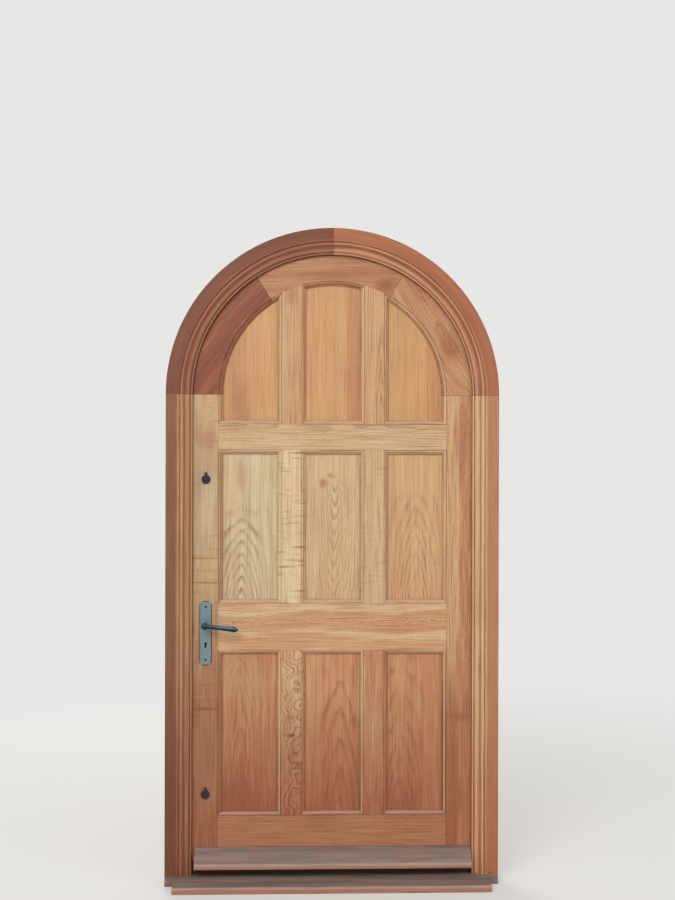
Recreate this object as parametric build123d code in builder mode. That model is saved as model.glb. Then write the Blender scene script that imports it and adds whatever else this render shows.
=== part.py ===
from build123d import *
from math import asin, cos, degrees, radians, sin, sqrt
import os

# Arched oak entrance door in its moulded frame, seen from outside along +Y.
# The origin lies on the underside of the sill, below the frame's outer face, midway between the jambs.
# +X is to the right from outside, +Y runs into the building and +Z is up. All lengths are millimetres.
os.makedirs("parts", exist_ok=True)

# Frame
sight_radius = 504.0        # half the opening between the frame's inner edges, and the arch's inner radius
frame_face = 96.0           # width of the frame's outer face
frame_depth = 75.0
stop_depth = 20.0           # thickness of the stop that the leaf closes against
stop_cover = 13.0           # how far the stop covers the leaf's edge
spring_height = 1765.0      # springing line of the arch above the sill's underside
foot_tenon_width = 46.0
foot_tenon_thickness = 24.0
foot_tenon_length = 22.0
fixing_radius = 5.0
fixing_depth_y = 58.0       # distance of the frame fixings behind the outer face
low_fixings = (430.0, 760.0)
high_fixing_drops = (635.0, 225.0)

# Moulding worked on the frame, counted from its inner edge
bead_radius = 4.0
bead_drop = 8.0
quirk_width = 2.2
quirk_drop = 13.5
ovolo_end = 30.0
ovolo_start_drop = 11.5
ovolo_bulge = 1.3           # depth of the ovolo's middle below its end
ovolo_end_drop = 6.5
fillet_drop = 5.0
scotia_end = 43.5
scotia_middle_drop = 1.8
scotia_end_drop = 1.0
outer_quirk_width = 3.2
outer_quirk_drop = 4.0
outer_bead_radius = 3.5

# Sill
seat_height = 35.0          # top of the sill under the jambs
sill_projection = 80.0
sill_nose = 22.0
sill_front_half = 566.0     # half length of the projecting part, between the wall's reveals
sill_corner_radius = 5.0
sill_nose_round = 3.0
drip_inset = 14.0
drip_radius = 4.0

# Leaf
leaf_gap = 3.0              # between the leaf's edge and the frame's rebate
stop_gap = 1.0              # between the leaf's outer face and the stop
leaf_thickness = 54.0
bottom_gap = 4.0
stile_sight = 91.0          # stile face seen from outside, from the frame's inner edge
muntin_face = 71.0
rail_face = 91.0            # face of the curved head rail from the frame's inner edge
upper_rail_drop = 106.0     # top of the upper rail below the springing line
upper_rail_face = 92.0
lock_rail_low = 844.0
lock_rail_high = 1012.0
bottom_rail_high = 246.0
left_joint_angle = 33.0     # head rail joints, from the vertical
right_joint_angle = 30.0

# Moulding worked round each panel, and the panels
lip_width = 14.0
lip_depth = 14.0
lip_quirk = 1.8
lip_quirk_depth = 3.6
lip_fillet = 2.4
panel_play = 0.2
panel_edge_gap = 2.0

# Tenons of rails and muntins
tenon_thickness = 18.0
tenon_play = 0.1
tenon_end_gap = 2.0
rail_tenon_length = 21.0
rail_tenon_inset = 18.0
muntin_tenon_length = 22.0
muntin_tenon_width = 45.0

# Weatherboard
board_low = 69.0
board_high = 134.0
board_top_thickness = 5.0
board_projection = 50.0
board_nose = 15.0
board_nose_round = 4.0
board_top_round = 2.0
board_lock_gap = 11.0
board_hinge_gap = 3.0
board_drip_radius = 3.5
board_drip_inset = 12.0

# Locks in the lock stile
backset = 57.0
spindle_height = 935.0
keyhole_drop = 67.0         # middle of the keyhole below the spindle
upper_key_drop = 306.0      # upper keyhole below the springing line
lower_key_height = 324.0
case_depth = 72.0
case_thickness = 16.0
case_play = 0.3
forend_width = 22.0
forend_thickness = 3.0
forend_play = 0.1
sash_case_rise = 40.0       # lock case above the spindle and below the keyhole
forend_overhang = 10.0
forend_screw_inset = 5.5
dead_case_rise = 42.0
dead_case_fall = 26.0
bolt_thickness = 12.0
bolt_width = 25.0
bolt_rise = 20.0            # middle of a deadbolt above its keyhole
bolt_length = 46.0
bolt_throw = 20.0
bolt_inset = 0.4
latch_width = 18.0
latch_rise = 17.0           # middle of the latch above the spindle
latch_length = 44.0
latch_throw = 12.0
bolt_play = 0.3
key_radius = 4.6
key_slot_width = 6.4
key_slot_drop = 16.0
follower_radius = 9.0
follower_play = 0.06
keep_thickness = 2.5
keep_width = 24.0
keep_hole_play = 1.5
keep_pocket_play = 3.0

# Lever handles
plate_width = 44.0
plate_fall = 146.0          # ends of the plate below and above the spindle
plate_rise = 86.0
plate_thickness = 3.0
plate_shoulder = 11.0
plate_shoulder_step = 2.0
plate_edge_round = 1.2
plate_screw_inset = 21.0
spindle_size = 8.0
spindle_play = 0.05
spindle_reach = 29.0        # how far the spindle stands out of the leaf's faces
spindle_hole_depth = 30.0
rose_radius = 14.0
rose_height = 7.0
neck_radius = 9.5
neck_play = 0.08
neck_foot_gap = 0.5
lever_standoff = 45.0       # middle of the lever's arm above its plate
lever_reach = 121.0
lever_droop = 6.0
elbow_radius = 12.0
arm_radius_root = 7.4
arm_radius_waist = 7.7
arm_radius_tip = 8.8
collar_radius = 10.4
collar_width = 3.0
finial_radius = 10.6
finial_tip = 3.2

# Keyhole covers
cover_radius = 16.0
cover_thickness = 3.5
cover_pivot_rise = 21.0
cover_lobe_radius = 5.0
cover_round = 2.2
cover_gap = 0.3
escutcheon_radius = 14.5
escutcheon_thickness = 1.5
pivot_radius = 2.0
pivot_play = 0.06
pivot_head_radius = 4.6
pivot_head_height = 2.6
pivot_head_edge = 0.6

# Hinges
lower_hinge_height = 250.0
middle_hinge_height = 940.0
upper_hinge_drop = 145.0    # middle of the upper hinge below the springing line
hinge_length = 100.0
hinge_leaf_width = 34.0
hinge_leaf_thickness = 2.5
hinge_leaf_gap = 0.4
knuckle_radius = 6.5
knuckle_count = 5
knuckle_play = 0.3
knuckle_proud = 0.5
pin_radius = 3.5
pin_play = 0.05
pin_head_radius = 5.6
pin_head_height = 3.0
hinge_screw_spacing = 24.0
hinge_screw_inset = 12.0
hinge_screw_stagger = 10.0

# Countersunk wood screws
screw_head_radius = 4.2
screw_radius = 2.1
screw_length = 28.0
screw_head_height = 2.1
screw_play = 0.05
screw_sink = 0.2

# Sizes that follow
outer_radius = sight_radius + frame_face
rebate_radius = sight_radius + stop_cover
leaf_radius = rebate_radius - leaf_gap
leaf_front = stop_depth + stop_gap
leaf_back = leaf_front + leaf_thickness
leaf_middle = (leaf_front + leaf_back) / 2
leaf_foot = seat_height + bottom_gap
upper_rail_high = spring_height - upper_rail_drop
upper_rail_low = upper_rail_high - upper_rail_face
keyhole_height = spindle_height - keyhole_drop
upper_key_height = spring_height - upper_key_drop
plate_low = spindle_height - plate_fall
plate_high = spindle_height + plate_rise
hinge_heights = (lower_hinge_height, middle_hinge_height, spring_height - upper_hinge_drop)
stile_edge = sight_radius - stile_sight
arc_edge = sight_radius - rail_face
opening_width = (2 * stile_edge - 2 * muntin_face) / 3
muntin_inner = opening_width / 2
muntin_outer = muntin_inner + muntin_face
panel_thickness = leaf_thickness - 2 * lip_depth - 2 * panel_play
arch_axis = Axis((0, 0, spring_height), (0, 1, 0))
key_x = backset - leaf_radius
pin_x = rebate_radius - leaf_gap / 2
pin_y = leaf_back + knuckle_radius + knuckle_proud


def write(part, name):
    """Label a finished piece and store it under its own name."""
    part.label = name
    export_step(part, f"parts/{name}.step")


def arc_height(radius, x):
    """Height on a circle about the arch's centre, at a distance from the middle."""
    return spring_height + sqrt(radius * radius - x * x)


def span(one_end, other_end):
    """Range between two ends given in either order."""
    return min(one_end, other_end), max(one_end, other_end)


def polar(radius, angle):
    """Point on a circle about the arch's centre, at an angle from the vertical, positive to the right."""
    return radius * sin(radians(angle)), spring_height + radius * cos(radians(angle))


def block(x_range, y_range, z_range):
    """Rectangular body between two limits on each axis."""
    with BuildPart() as body:
        with BuildSketch(Plane.XY.offset(z_range[0])):
            with Locations(((x_range[0] + x_range[1]) / 2, (y_range[0] + y_range[1]) / 2)):
                Rectangle(x_range[1] - x_range[0], y_range[1] - y_range[0])
        extrude(amount=z_range[1] - z_range[0])
    return body.part


def rod(start, direction, radius, length):
    """Round rod from a point along a direction."""
    with BuildPart() as body:
        with BuildSketch(Plane(origin=start, z_dir=direction)):
            Circle(radius)
        extrude(amount=length)
    return body.part


def frame_section(side, height):
    """Rebated frame section with its worked moulding, on one side of the opening."""

    def at(across, depth):
        return side * (sight_radius + across), depth

    bead_end = 2 * bead_radius
    ovolo_start = bead_end + quirk_width
    outer_quirk_end = scotia_end + outer_quirk_width
    bead_shoulder = outer_bead_radius * (1 - sqrt(0.5))
    with BuildSketch(Plane.XY.offset(height)) as section:
        with BuildLine():
            ThreePointArc(
                at(0, bead_drop + bead_radius),
                at(bead_radius, bead_drop),
                at(bead_end, bead_drop + bead_radius),
            )
            Polyline(
                at(bead_end, bead_drop + bead_radius),
                at(bead_end, quirk_drop),
                at(ovolo_start, quirk_drop),
                at(ovolo_start, ovolo_start_drop),
            )
            ThreePointArc(
                at(ovolo_start, ovolo_start_drop),
                at((ovolo_start + ovolo_end) / 2, ovolo_end_drop + ovolo_bulge),
                at(ovolo_end, ovolo_end_drop),
            )
            Line(at(ovolo_end, ovolo_end_drop), at(ovolo_end, fillet_drop))
            ThreePointArc(
                at(ovolo_end, fillet_drop),
                at((ovolo_end + scotia_end) / 2, scotia_middle_drop),
                at(scotia_end, scotia_end_drop),
            )
            Polyline(
                at(scotia_end, scotia_end_drop),
                at(scotia_end, outer_quirk_drop),
                at(outer_quirk_end, outer_quirk_drop),
                at(outer_quirk_end, outer_bead_radius),
            )
            ThreePointArc(
                at(outer_quirk_end, outer_bead_radius),
                at(outer_quirk_end + bead_shoulder, bead_shoulder),
                at(outer_quirk_end + outer_bead_radius, 0),
            )
            Polyline(
                at(outer_quirk_end + outer_bead_radius, 0),
                at(frame_face, 0),
                at(frame_face, frame_depth),
                at(stop_cover, frame_depth),
                at(stop_cover, stop_depth),
                at(0, stop_depth),
                at(0, bead_drop + bead_radius),
            )
        make_face()
    return section.sketch


def lip_section(plane, front):
    """Quirked ovolo beside a panel: x counts from the face edge into the opening, y is depth in the leaf."""

    def at(across, depth):
        return across, (leaf_front + depth) if front else (leaf_back - depth)

    ovolo_far = lip_width - lip_fillet
    with BuildSketch(plane) as section:
        with BuildLine():
            Polyline(
                at(0, lip_depth),
                at(0, lip_quirk_depth),
                at(lip_quirk, lip_quirk_depth),
                at(lip_quirk, lip_quirk),
            )
            ThreePointArc(
                at(lip_quirk, lip_quirk),
                at(lip_quirk + (ovolo_far - lip_quirk) * 0.72, lip_quirk + (ovolo_far - lip_quirk) * 0.28),
                at(ovolo_far, ovolo_far),
            )
            Polyline(
                at(ovolo_far, ovolo_far), at(lip_width, ovolo_far), at(lip_width, lip_depth), at(0, lip_depth)
            )
        make_face()
    return section.sketch


def mitre(corner, inner_corner, toward):
    """Cutting plane through both corners of a mitre, facing the kept side."""
    along = Vector(inner_corner[0] - corner[0], 0, inner_corner[1] - corner[1]).normalized()
    normal = along.cross(Vector(0, 1, 0))
    if normal.dot(Vector(toward[0] - corner[0], 0, toward[1] - corner[1])) < 0:
        normal = -normal
    return Plane(origin=(corner[0], 0, corner[1]), z_dir=normal)


def straight_lips(start, end, inner_start, inner_end):
    """Front and back mouldings along one straight side of an opening, mitred at both ends."""
    run = Vector(end[0] - start[0], 0, end[1] - start[1])
    inward = Vector(inner_start[0] - start[0], 0, inner_start[1] - start[1])
    along = run.normalized()
    inward = (inward - along * inward.dot(along)).normalized()
    lips = []
    for front in (True, False):
        origin = Vector(start[0], 0, start[1]) - along * lip_width
        plane = Plane(origin=origin, x_dir=inward, z_dir=inward.cross(Vector(0, 1, 0)))
        reach = run.length + 2 * lip_width
        forward = plane.z_dir.dot(along) > 0
        with BuildPart() as lip:
            extrude(lip_section(plane, front), amount=reach if forward else -reach)
            split(bisect_by=mitre(start, inner_start, end), keep=Keep.TOP)
            split(bisect_by=mitre(end, inner_end, start), keep=Keep.TOP)
        lips.append(lip.part)
    return lips


def curved_lips(from_angle, to_angle, cuts):
    """Front and back mouldings under the curved head rail, between two angles from the vertical."""
    lips = []
    for front in (True, False):
        x, z = polar(arc_edge, from_angle)
        inward = Vector(-x, 0, spring_height - z).normalized()
        plane = Plane(origin=(x, 0, z), x_dir=inward, z_dir=inward.cross(Vector(0, 1, 0)))
        with BuildPart() as lip:
            revolve(lip_section(plane, front), axis=arch_axis, revolution_arc=to_angle - from_angle)
            for cut in cuts:
                split(bisect_by=cut, keep=Keep.TOP)
        lips.append(lip.part)
    return lips


def arc_corner(x_edge, x_inner):
    """Face-edge corner and panel-edge corner where a muntin meets the curved rail."""
    return (x_edge, arc_height(arc_edge, x_edge)), (x_inner, arc_height(arc_edge - lip_width, x_inner))


def box_corners(x_low, x_high, z_low, z_high):
    """Face-edge corners and panel-edge corners of a rectangular opening."""
    w = lip_width
    outer = {"bl": (x_low, z_low), "br": (x_high, z_low), "tl": (x_low, z_high), "tr": (x_high, z_high)}
    inner = {
        "bl": (x_low + w, z_low + w),
        "br": (x_high - w, z_low + w),
        "tl": (x_low + w, z_high - w),
        "tr": (x_high - w, z_high - w),
    }
    return outer, inner


def slab(x_low, x_high, z_low, z_high):
    """Straight leaf member at full thickness."""
    return block((x_low, x_high), (leaf_front, leaf_back), (z_low, z_high))


def tenon(x_range, z_range, play=0.0):
    """Tenon in the middle of the leaf's thickness, or the mortise for it when there is play."""
    half = tenon_thickness / 2 + play
    return block(x_range, (leaf_middle - half, leaf_middle + half), z_range)


def countersunk(head, direction, play=0.0):
    """Wood screw with its head's top at a point, or the hole for it when there is play."""
    along = Vector(*direction)
    side = Vector(1, 0, 0) if along.X == 0 else Vector(0, 1, 0)
    plane = Plane(origin=Vector(*head), x_dir=along, z_dir=along.cross(side))
    with BuildPart() as screw:
        with BuildSketch(plane):
            with BuildLine():
                Polyline(
                    (-play, 0),
                    (-play, screw_head_radius + play),
                    (screw_head_height, screw_radius + play),
                    (screw_length - 3 * screw_radius, screw_radius + play),
                    (screw_length + play, 0),
                    (-play, 0),
                )
            make_face()
        revolve(axis=Axis(Vector(*head), along))
    return screw.part


# Openings of the leaf: columns from left to right, rows from the bottom
columns = (
    (-stile_edge, -muntin_outer),
    (-muntin_inner, muntin_inner),
    (muntin_outer, stile_edge),
)
low_rows = ((bottom_rail_high, lock_rail_low), (lock_rail_high, upper_rail_low))
column_names = ("left", "middle", "right")
row_names = ("bottom", "centre")

# Screw places, shared by the screws and their holes
hinge_screw_places = [
    (leaf_back - hinge_leaf_width + hinge_screw_inset + row * hinge_screw_stagger, centre + offset)
    for centre in hinge_heights
    for row, offset in (
        (0, -1.5 * hinge_screw_spacing),
        (1, -0.5 * hinge_screw_spacing),
        (0, 0.5 * hinge_screw_spacing),
        (1, 1.5 * hinge_screw_spacing),
    )
]
plate_screw_heights = (plate_low + plate_screw_inset, plate_high - plate_screw_inset)
plate_screws = [
    ((key_x, face, height), (0, inward, 0))
    for face, inward in ((leaf_front - plate_thickness, 1), (leaf_back + plate_thickness, -1))
    for height in plate_screw_heights
]
frame_plate_face = pin_x + hinge_leaf_gap / 2
leaf_plate_face = pin_x - hinge_leaf_gap / 2

lock_cases = {
    "sash_lock": (keyhole_height - sash_case_rise, spindle_height + sash_case_rise),
    "upper_deadlock": (upper_key_height - dead_case_fall, upper_key_height + dead_case_rise),
    "lower_deadlock": (lower_key_height - dead_case_fall, lower_key_height + dead_case_rise),
}
key_heights = {
    "sash_lock": keyhole_height,
    "upper_deadlock": upper_key_height,
    "lower_deadlock": lower_key_height,
}
keep_names = {"sash_lock": "sash_keep", "upper_deadlock": "upper_keep", "lower_deadlock": "lower_keep"}
bolt_names = {
    "sash_lock": "sash_deadbolt",
    "upper_deadlock": "upper_deadbolt",
    "lower_deadlock": "lower_deadbolt",
}


def bolt_windows(lock):
    """Height range of each bolt of a lock, with how far it stands out when thrown."""
    middle = key_heights[lock] + bolt_rise
    windows = [(middle - bolt_width / 2, middle + bolt_width / 2, bolt_throw)]
    if lock == "sash_lock":
        middle = spindle_height + latch_rise
        windows.append((middle - latch_width / 2, middle + latch_width / 2, latch_throw))
    return windows


def forend_range(lock):
    """Height range of a lock's forend, and of the keep opposite it."""
    low, high = lock_cases[lock]
    return low - forend_overhang, high + forend_overhang


def forend_screws(lock):
    """Where the heads of a forend's screws lie."""
    low, high = forend_range(lock)
    heights = (low + forend_screw_inset, high - forend_screw_inset)
    return [(-leaf_radius + screw_sink, leaf_middle, z) for z in heights]


def keep_screws(lock):
    """Where the heads of a keep's screws lie."""
    low, high = forend_range(lock)
    heights = (low + forend_screw_inset, high - forend_screw_inset)
    return [(-rebate_radius - screw_sink, leaf_middle, z) for z in heights]


def keyhole(y_range, z_key, play=0.0):
    """Keyhole through a range of depths, round at the top with a straight slot below."""
    with BuildPart() as hole:
        with BuildSketch(Plane.XZ.offset(-y_range[0])):
            with Locations((key_x, z_key)):
                Circle(key_radius + play)
            with Locations((key_x, z_key - key_slot_drop / 2)):
                Rectangle(key_slot_width + 2 * play, key_slot_drop + 2 * play)
        extrude(amount=-(y_range[1] - y_range[0]))
    return hole.part


# Frame head: two quarter circles that meet at the crown
for side, name in ((-1, "frame_head_left"), (1, "frame_head_right")):
    with BuildPart() as head:
        revolve(
            frame_section(side, spring_height),
            axis=Axis((0, 0, spring_height), (0, -side, 0)),
            revolution_arc=90,
        )
    write(head.part, name)

# Jambs, with stub tenons in the sill and holes for the fixings into the wall
tenon_middle = sight_radius + stop_cover + (frame_face - stop_cover) / 2
for side, name in ((-1, "lock_jamb"), (1, "hinge_jamb")):
    with BuildPart() as jamb:
        extrude(frame_section(side, seat_height), amount=spring_height - seat_height)
        add(
            block(
                (side * tenon_middle - foot_tenon_width / 2, side * tenon_middle + foot_tenon_width / 2),
                (frame_depth / 2 - foot_tenon_thickness / 2, frame_depth / 2 + foot_tenon_thickness / 2),
                (seat_height - foot_tenon_length, seat_height),
            )
        )
        for height in (*low_fixings, *(spring_height - drop for drop in high_fixing_drops)):
            start = (side * (sight_radius - 5), fixing_depth_y, height)
            add(rod(start, (side, 0, 0), fixing_radius, frame_face + 10), mode=Mode.SUBTRACT)
        if side < 0:
            for lock in lock_cases:
                low, high = forend_range(lock)
                add(
                    block(
                        (-rebate_radius - keep_thickness, -rebate_radius + 1),
                        (leaf_middle - keep_width / 2, frame_depth + 1),
                        (low, high),
                    ),
                    mode=Mode.SUBTRACT,
                )
                for low, high, throw in bolt_windows(lock):
                    add(
                        block(
                            (-leaf_radius - throw - keep_pocket_play, -rebate_radius),
                            (
                                leaf_middle - bolt_thickness / 2 - keep_hole_play,
                                leaf_middle + bolt_thickness / 2 + keep_hole_play,
                            ),
                            (low - keep_hole_play, high + keep_hole_play),
                        ),
                        mode=Mode.SUBTRACT,
                    )
                for place in keep_screws(lock):
                    add(countersunk(place, (-1, 0, 0), screw_play), mode=Mode.SUBTRACT)
        else:
            for centre in hinge_heights:
                add(
                    block(
                        (rebate_radius - 1, frame_plate_face + hinge_leaf_thickness),
                        (leaf_back - hinge_leaf_width, frame_depth + 1),
                        (centre - hinge_length / 2, centre + hinge_length / 2),
                    ),
                    mode=Mode.SUBTRACT,
                )
            for y, z in hinge_screw_places:
                head = (frame_plate_face + screw_sink, y, z)
                add(countersunk(head, (1, 0, 0), screw_play), mode=Mode.SUBTRACT)
    write(jamb.part, name)

# Sill, level under the frame and weathered in front of it
with BuildPart() as sill:
    with BuildSketch(Plane.YZ.offset(-outer_radius)):
        with BuildLine():
            Polyline(
                (-sill_projection, 0),
                (-sill_projection, sill_nose),
                (0, seat_height),
                (frame_depth, seat_height),
                (frame_depth, 0),
                (-sill_projection, 0),
            )
        make_face()
    extrude(amount=2 * outer_radius)
    fillet(sill.edges().filter_by(Axis.X).group_by(Axis.Y)[0].sort_by(Axis.Z)[-1], radius=sill_nose_round)
    for side in (-1, 1):
        add(
            block(
                span(side * sill_front_half, side * (outer_radius + 1)),
                (-sill_projection - 1, 0),
                (-1, seat_height + 1),
            ),
            mode=Mode.SUBTRACT,
        )
        add(
            block(
                (
                    side * tenon_middle - foot_tenon_width / 2 - tenon_play,
                    side * tenon_middle + foot_tenon_width / 2 + tenon_play,
                ),
                (
                    frame_depth / 2 - foot_tenon_thickness / 2 - tenon_play,
                    frame_depth / 2 + foot_tenon_thickness / 2 + tenon_play,
                ),
                (seat_height - foot_tenon_length - tenon_end_gap, seat_height + 1),
            ),
            mode=Mode.SUBTRACT,
        )
    fillet(sill.edges().filter_by(Axis.Z).group_by(Axis.Y)[0], radius=sill_corner_radius)
    add(
        rod(
            (-outer_radius - 1, -sill_projection + drip_inset, 0),
            (1, 0, 0),
            drip_radius,
            2 * outer_radius + 2,
        ),
        mode=Mode.SUBTRACT,
    )
write(sill.part, "sill")

# Stiles, moulded where they pass the panels
for side, name in ((-1, "lock_stile"), (1, "hinge_stile")):
    column = columns[0] if side < 0 else columns[2]
    near = "l" if side < 0 else "r"
    with BuildPart() as stile:
        add(slab(*span(side * stile_edge, side * leaf_radius), leaf_foot, spring_height))
        for low, high in low_rows:
            outer, inner = box_corners(column[0], column[1], low, high)
            ends = ("b" + near, "t" + near)
            for lip in straight_lips(*(outer[end] for end in ends), *(inner[end] for end in ends)):
                add(lip)
        outer, inner = box_corners(column[0], column[1], upper_rail_high, spring_height + lip_width)
        top = (side * stile_edge, spring_height)
        inner_top = (side * (stile_edge - lip_width), spring_height)
        for lip in straight_lips(outer["b" + near], top, inner["b" + near], inner_top):
            add(lip)
        for low, high in (
            (leaf_foot, bottom_rail_high),
            (lock_rail_low, lock_rail_high),
            (upper_rail_low, upper_rail_high),
        ):
            reach = stile_edge + rail_tenon_length + tenon_end_gap
            add(
                tenon(
                    span(side * (stile_edge - 1), side * reach),
                    (low + rail_tenon_inset - tenon_play, high - rail_tenon_inset + tenon_play),
                    tenon_play,
                ),
                mode=Mode.SUBTRACT,
            )
        if side < 0:
            for lock, (low, high) in lock_cases.items():
                half = case_thickness / 2 + case_play
                add(
                    block(
                        (-leaf_radius - 1, -leaf_radius + forend_thickness + case_depth + case_play),
                        (leaf_middle - half, leaf_middle + half),
                        (low - case_play, high + case_play),
                    ),
                    mode=Mode.SUBTRACT,
                )
                low, high = forend_range(lock)
                half = forend_width / 2 + forend_play
                add(
                    block(
                        (-leaf_radius - 1, -leaf_radius + forend_thickness),
                        (leaf_middle - half, leaf_middle + half),
                        (low - forend_play, high + forend_play),
                    ),
                    mode=Mode.SUBTRACT,
                )
                add(keyhole((leaf_front - 1, leaf_back + 1), key_heights[lock]), mode=Mode.SUBTRACT)
                for place in forend_screws(lock):
                    add(countersunk(place, (1, 0, 0), screw_play), mode=Mode.SUBTRACT)
            add(
                rod((key_x, leaf_front - 1, spindle_height), (0, 1, 0), follower_radius, leaf_thickness + 2),
                mode=Mode.SUBTRACT,
            )
            for head, inward in plate_screws:
                add(countersunk(head, inward, screw_play), mode=Mode.SUBTRACT)
        else:
            for centre in hinge_heights:
                add(
                    block(
                        (leaf_plate_face - hinge_leaf_thickness, leaf_radius + 1),
                        (leaf_back - hinge_leaf_width, leaf_back + 1),
                        (centre - hinge_length / 2, centre + hinge_length / 2),
                    ),
                    mode=Mode.SUBTRACT,
                )
            for y, z in hinge_screw_places:
                head = (leaf_plate_face - screw_sink, y, z)
                add(countersunk(head, (-1, 0, 0), screw_play), mode=Mode.SUBTRACT)
    write(stile.part, name)

# Curved head rail in three segments, with radial joints either side of the crown
left_corner, left_inner = arc_corner(-muntin_outer, -muntin_outer - lip_width)
right_corner, right_inner = arc_corner(muntin_outer, muntin_outer + lip_width)
muntin_angle = degrees(asin(muntin_outer / arc_edge))
middle_angle = degrees(asin(muntin_inner / arc_edge))
middle_right, middle_right_inner = arc_corner(muntin_inner, muntin_inner - lip_width)
middle_left, middle_left_inner = arc_corner(-muntin_inner, -muntin_inner + lip_width)
spread = 3.0                # extra sweep that the mitres cut away
arc_tenon_top = arc_height(arc_edge, muntin_inner) + muntin_tenon_length
segments = {
    "head_rail_left": (-90.0, -left_joint_angle),
    "head_rail_crown": (-left_joint_angle, right_joint_angle),
    "head_rail_right": (right_joint_angle, 90.0),
}
for name, (from_angle, to_angle) in segments.items():
    with BuildPart() as rail:
        inner_x, inner_z = polar(arc_edge, from_angle)
        outer_x, outer_z = polar(leaf_radius, from_angle)
        along = Vector(outer_x - inner_x, 0, outer_z - inner_z).normalized()
        section_plane = Plane(origin=(inner_x, 0, inner_z), x_dir=along, z_dir=along.cross(Vector(0, 1, 0)))
        with BuildSketch(section_plane):
            with Locations(((leaf_radius - arc_edge) / 2, leaf_middle)):
                Rectangle(leaf_radius - arc_edge, leaf_thickness)
        revolve(axis=arch_axis, revolution_arc=to_angle - from_angle)
        if name != "head_rail_crown":
            lips = curved_lips(from_angle, to_angle, [])
        else:
            left_mitre = mitre(left_corner, left_inner, (-stile_edge, spring_height))
            right_mitre = mitre(right_corner, right_inner, (stile_edge, spring_height))
            lips = curved_lips(from_angle, -muntin_angle + spread, [left_mitre])
            lips += curved_lips(muntin_angle - spread, to_angle, [right_mitre])
            lips += curved_lips(
                -middle_angle - spread,
                middle_angle + spread,
                [
                    mitre(middle_left, middle_left_inner, (0, middle_left[1])),
                    mitre(middle_right, middle_right_inner, (0, middle_right[1])),
                ],
            )
        for lip in lips:
            add(lip)
        if name == "head_rail_crown":
            for side in (-1, 1):
                middle = side * (muntin_inner + muntin_face / 2)
                half = muntin_tenon_width / 2 + tenon_play
                foot = arc_height(arc_edge - lip_width, muntin_outer)
                add(
                    tenon((middle - half, middle + half), (foot, arc_tenon_top + tenon_end_gap), tenon_play),
                    mode=Mode.SUBTRACT,
                )
    write(rail.part, name)

# Straight rails between the stiles, moulded along the panels
rails = {
    "bottom_rail": (leaf_foot, bottom_rail_high),
    "lock_rail": (lock_rail_low, lock_rail_high),
    "upper_rail": (upper_rail_low, upper_rail_high),
}
for name, (low, high) in rails.items():
    with BuildPart() as rail:
        add(slab(-stile_edge, stile_edge, low, high))
        add(
            tenon(
                (-stile_edge - rail_tenon_length, stile_edge + rail_tenon_length),
                (low + rail_tenon_inset, high - rail_tenon_inset),
            )
        )
        for x_low, x_high in columns:
            outer, inner = box_corners(x_low, x_high, high, high + 4 * lip_width)
            for lip in straight_lips(outer["bl"], outer["br"], inner["bl"], inner["br"]):
                add(lip)
            if low > leaf_foot:
                outer, inner = box_corners(x_low, x_high, low - 4 * lip_width, low)
                for lip in straight_lips(outer["tl"], outer["tr"], inner["tl"], inner["tr"]):
                    add(lip)
        for side in (-1, 1):
            middle = side * (muntin_inner + muntin_face / 2)
            half = muntin_tenon_width / 2 + tenon_play
            depth = muntin_tenon_length + tenon_end_gap
            width = (middle - half, middle + half)
            add(tenon(width, (high - depth, high + 1), tenon_play), mode=Mode.SUBTRACT)
            if low > leaf_foot:
                add(tenon(width, (low - 1, low + depth), tenon_play), mode=Mode.SUBTRACT)
    write(rail.part, name)

# Muntins between the rails, moulded on both sides
for side, side_name in ((-1, "left"), (1, "right")):
    middle = side * (muntin_inner + muntin_face / 2)
    x_low, x_high = middle - muntin_face / 2, middle + muntin_face / 2
    left_column = columns[0] if side < 0 else columns[1]
    right_column = columns[1] if side < 0 else columns[2]
    half = muntin_tenon_width / 2
    for (low, high), row_name in zip(low_rows, row_names):
        with BuildPart() as muntin:
            add(slab(x_low, x_high, low, high))
            width = (middle - half, middle + half)
            add(tenon(width, (low - muntin_tenon_length, high + muntin_tenon_length)))
            outer, inner = box_corners(left_column[0], left_column[1], low, high)
            for lip in straight_lips(outer["br"], outer["tr"], inner["br"], inner["tr"]):
                add(lip)
            outer, inner = box_corners(right_column[0], right_column[1], low, high)
            for lip in straight_lips(outer["bl"], outer["tl"], inner["bl"], inner["tl"]):
                add(lip)
        write(muntin.part, f"{row_name}_muntin_{side_name}")
    with BuildPart() as muntin:
        with BuildSketch(Plane.XZ.offset(-leaf_front)):
            with BuildLine():
                Polyline(
                    (x_low, arc_height(arc_edge, x_low)),
                    (x_low, upper_rail_high),
                    (x_high, upper_rail_high),
                    (x_high, arc_height(arc_edge, x_high)),
                )
                ThreePointArc(
                    (x_low, arc_height(arc_edge, x_low)),
                    (middle, arc_height(arc_edge, middle)),
                    (x_high, arc_height(arc_edge, x_high)),
                )
            make_face()
        extrude(amount=-leaf_thickness)
        add(tenon((middle - half, middle + half), (upper_rail_high - muntin_tenon_length, arc_tenon_top)))
        for x_edge, inward in ((x_low, -1), (x_high, 1)):
            foot = (x_edge, upper_rail_high)
            inner_foot = (x_edge + inward * lip_width, upper_rail_high + lip_width)
            corner, inner_corner = arc_corner(x_edge, x_edge + inward * lip_width)
            for lip in straight_lips(foot, corner, inner_foot, inner_corner):
                add(lip)
    write(muntin.part, f"top_muntin_{side_name}")

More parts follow.
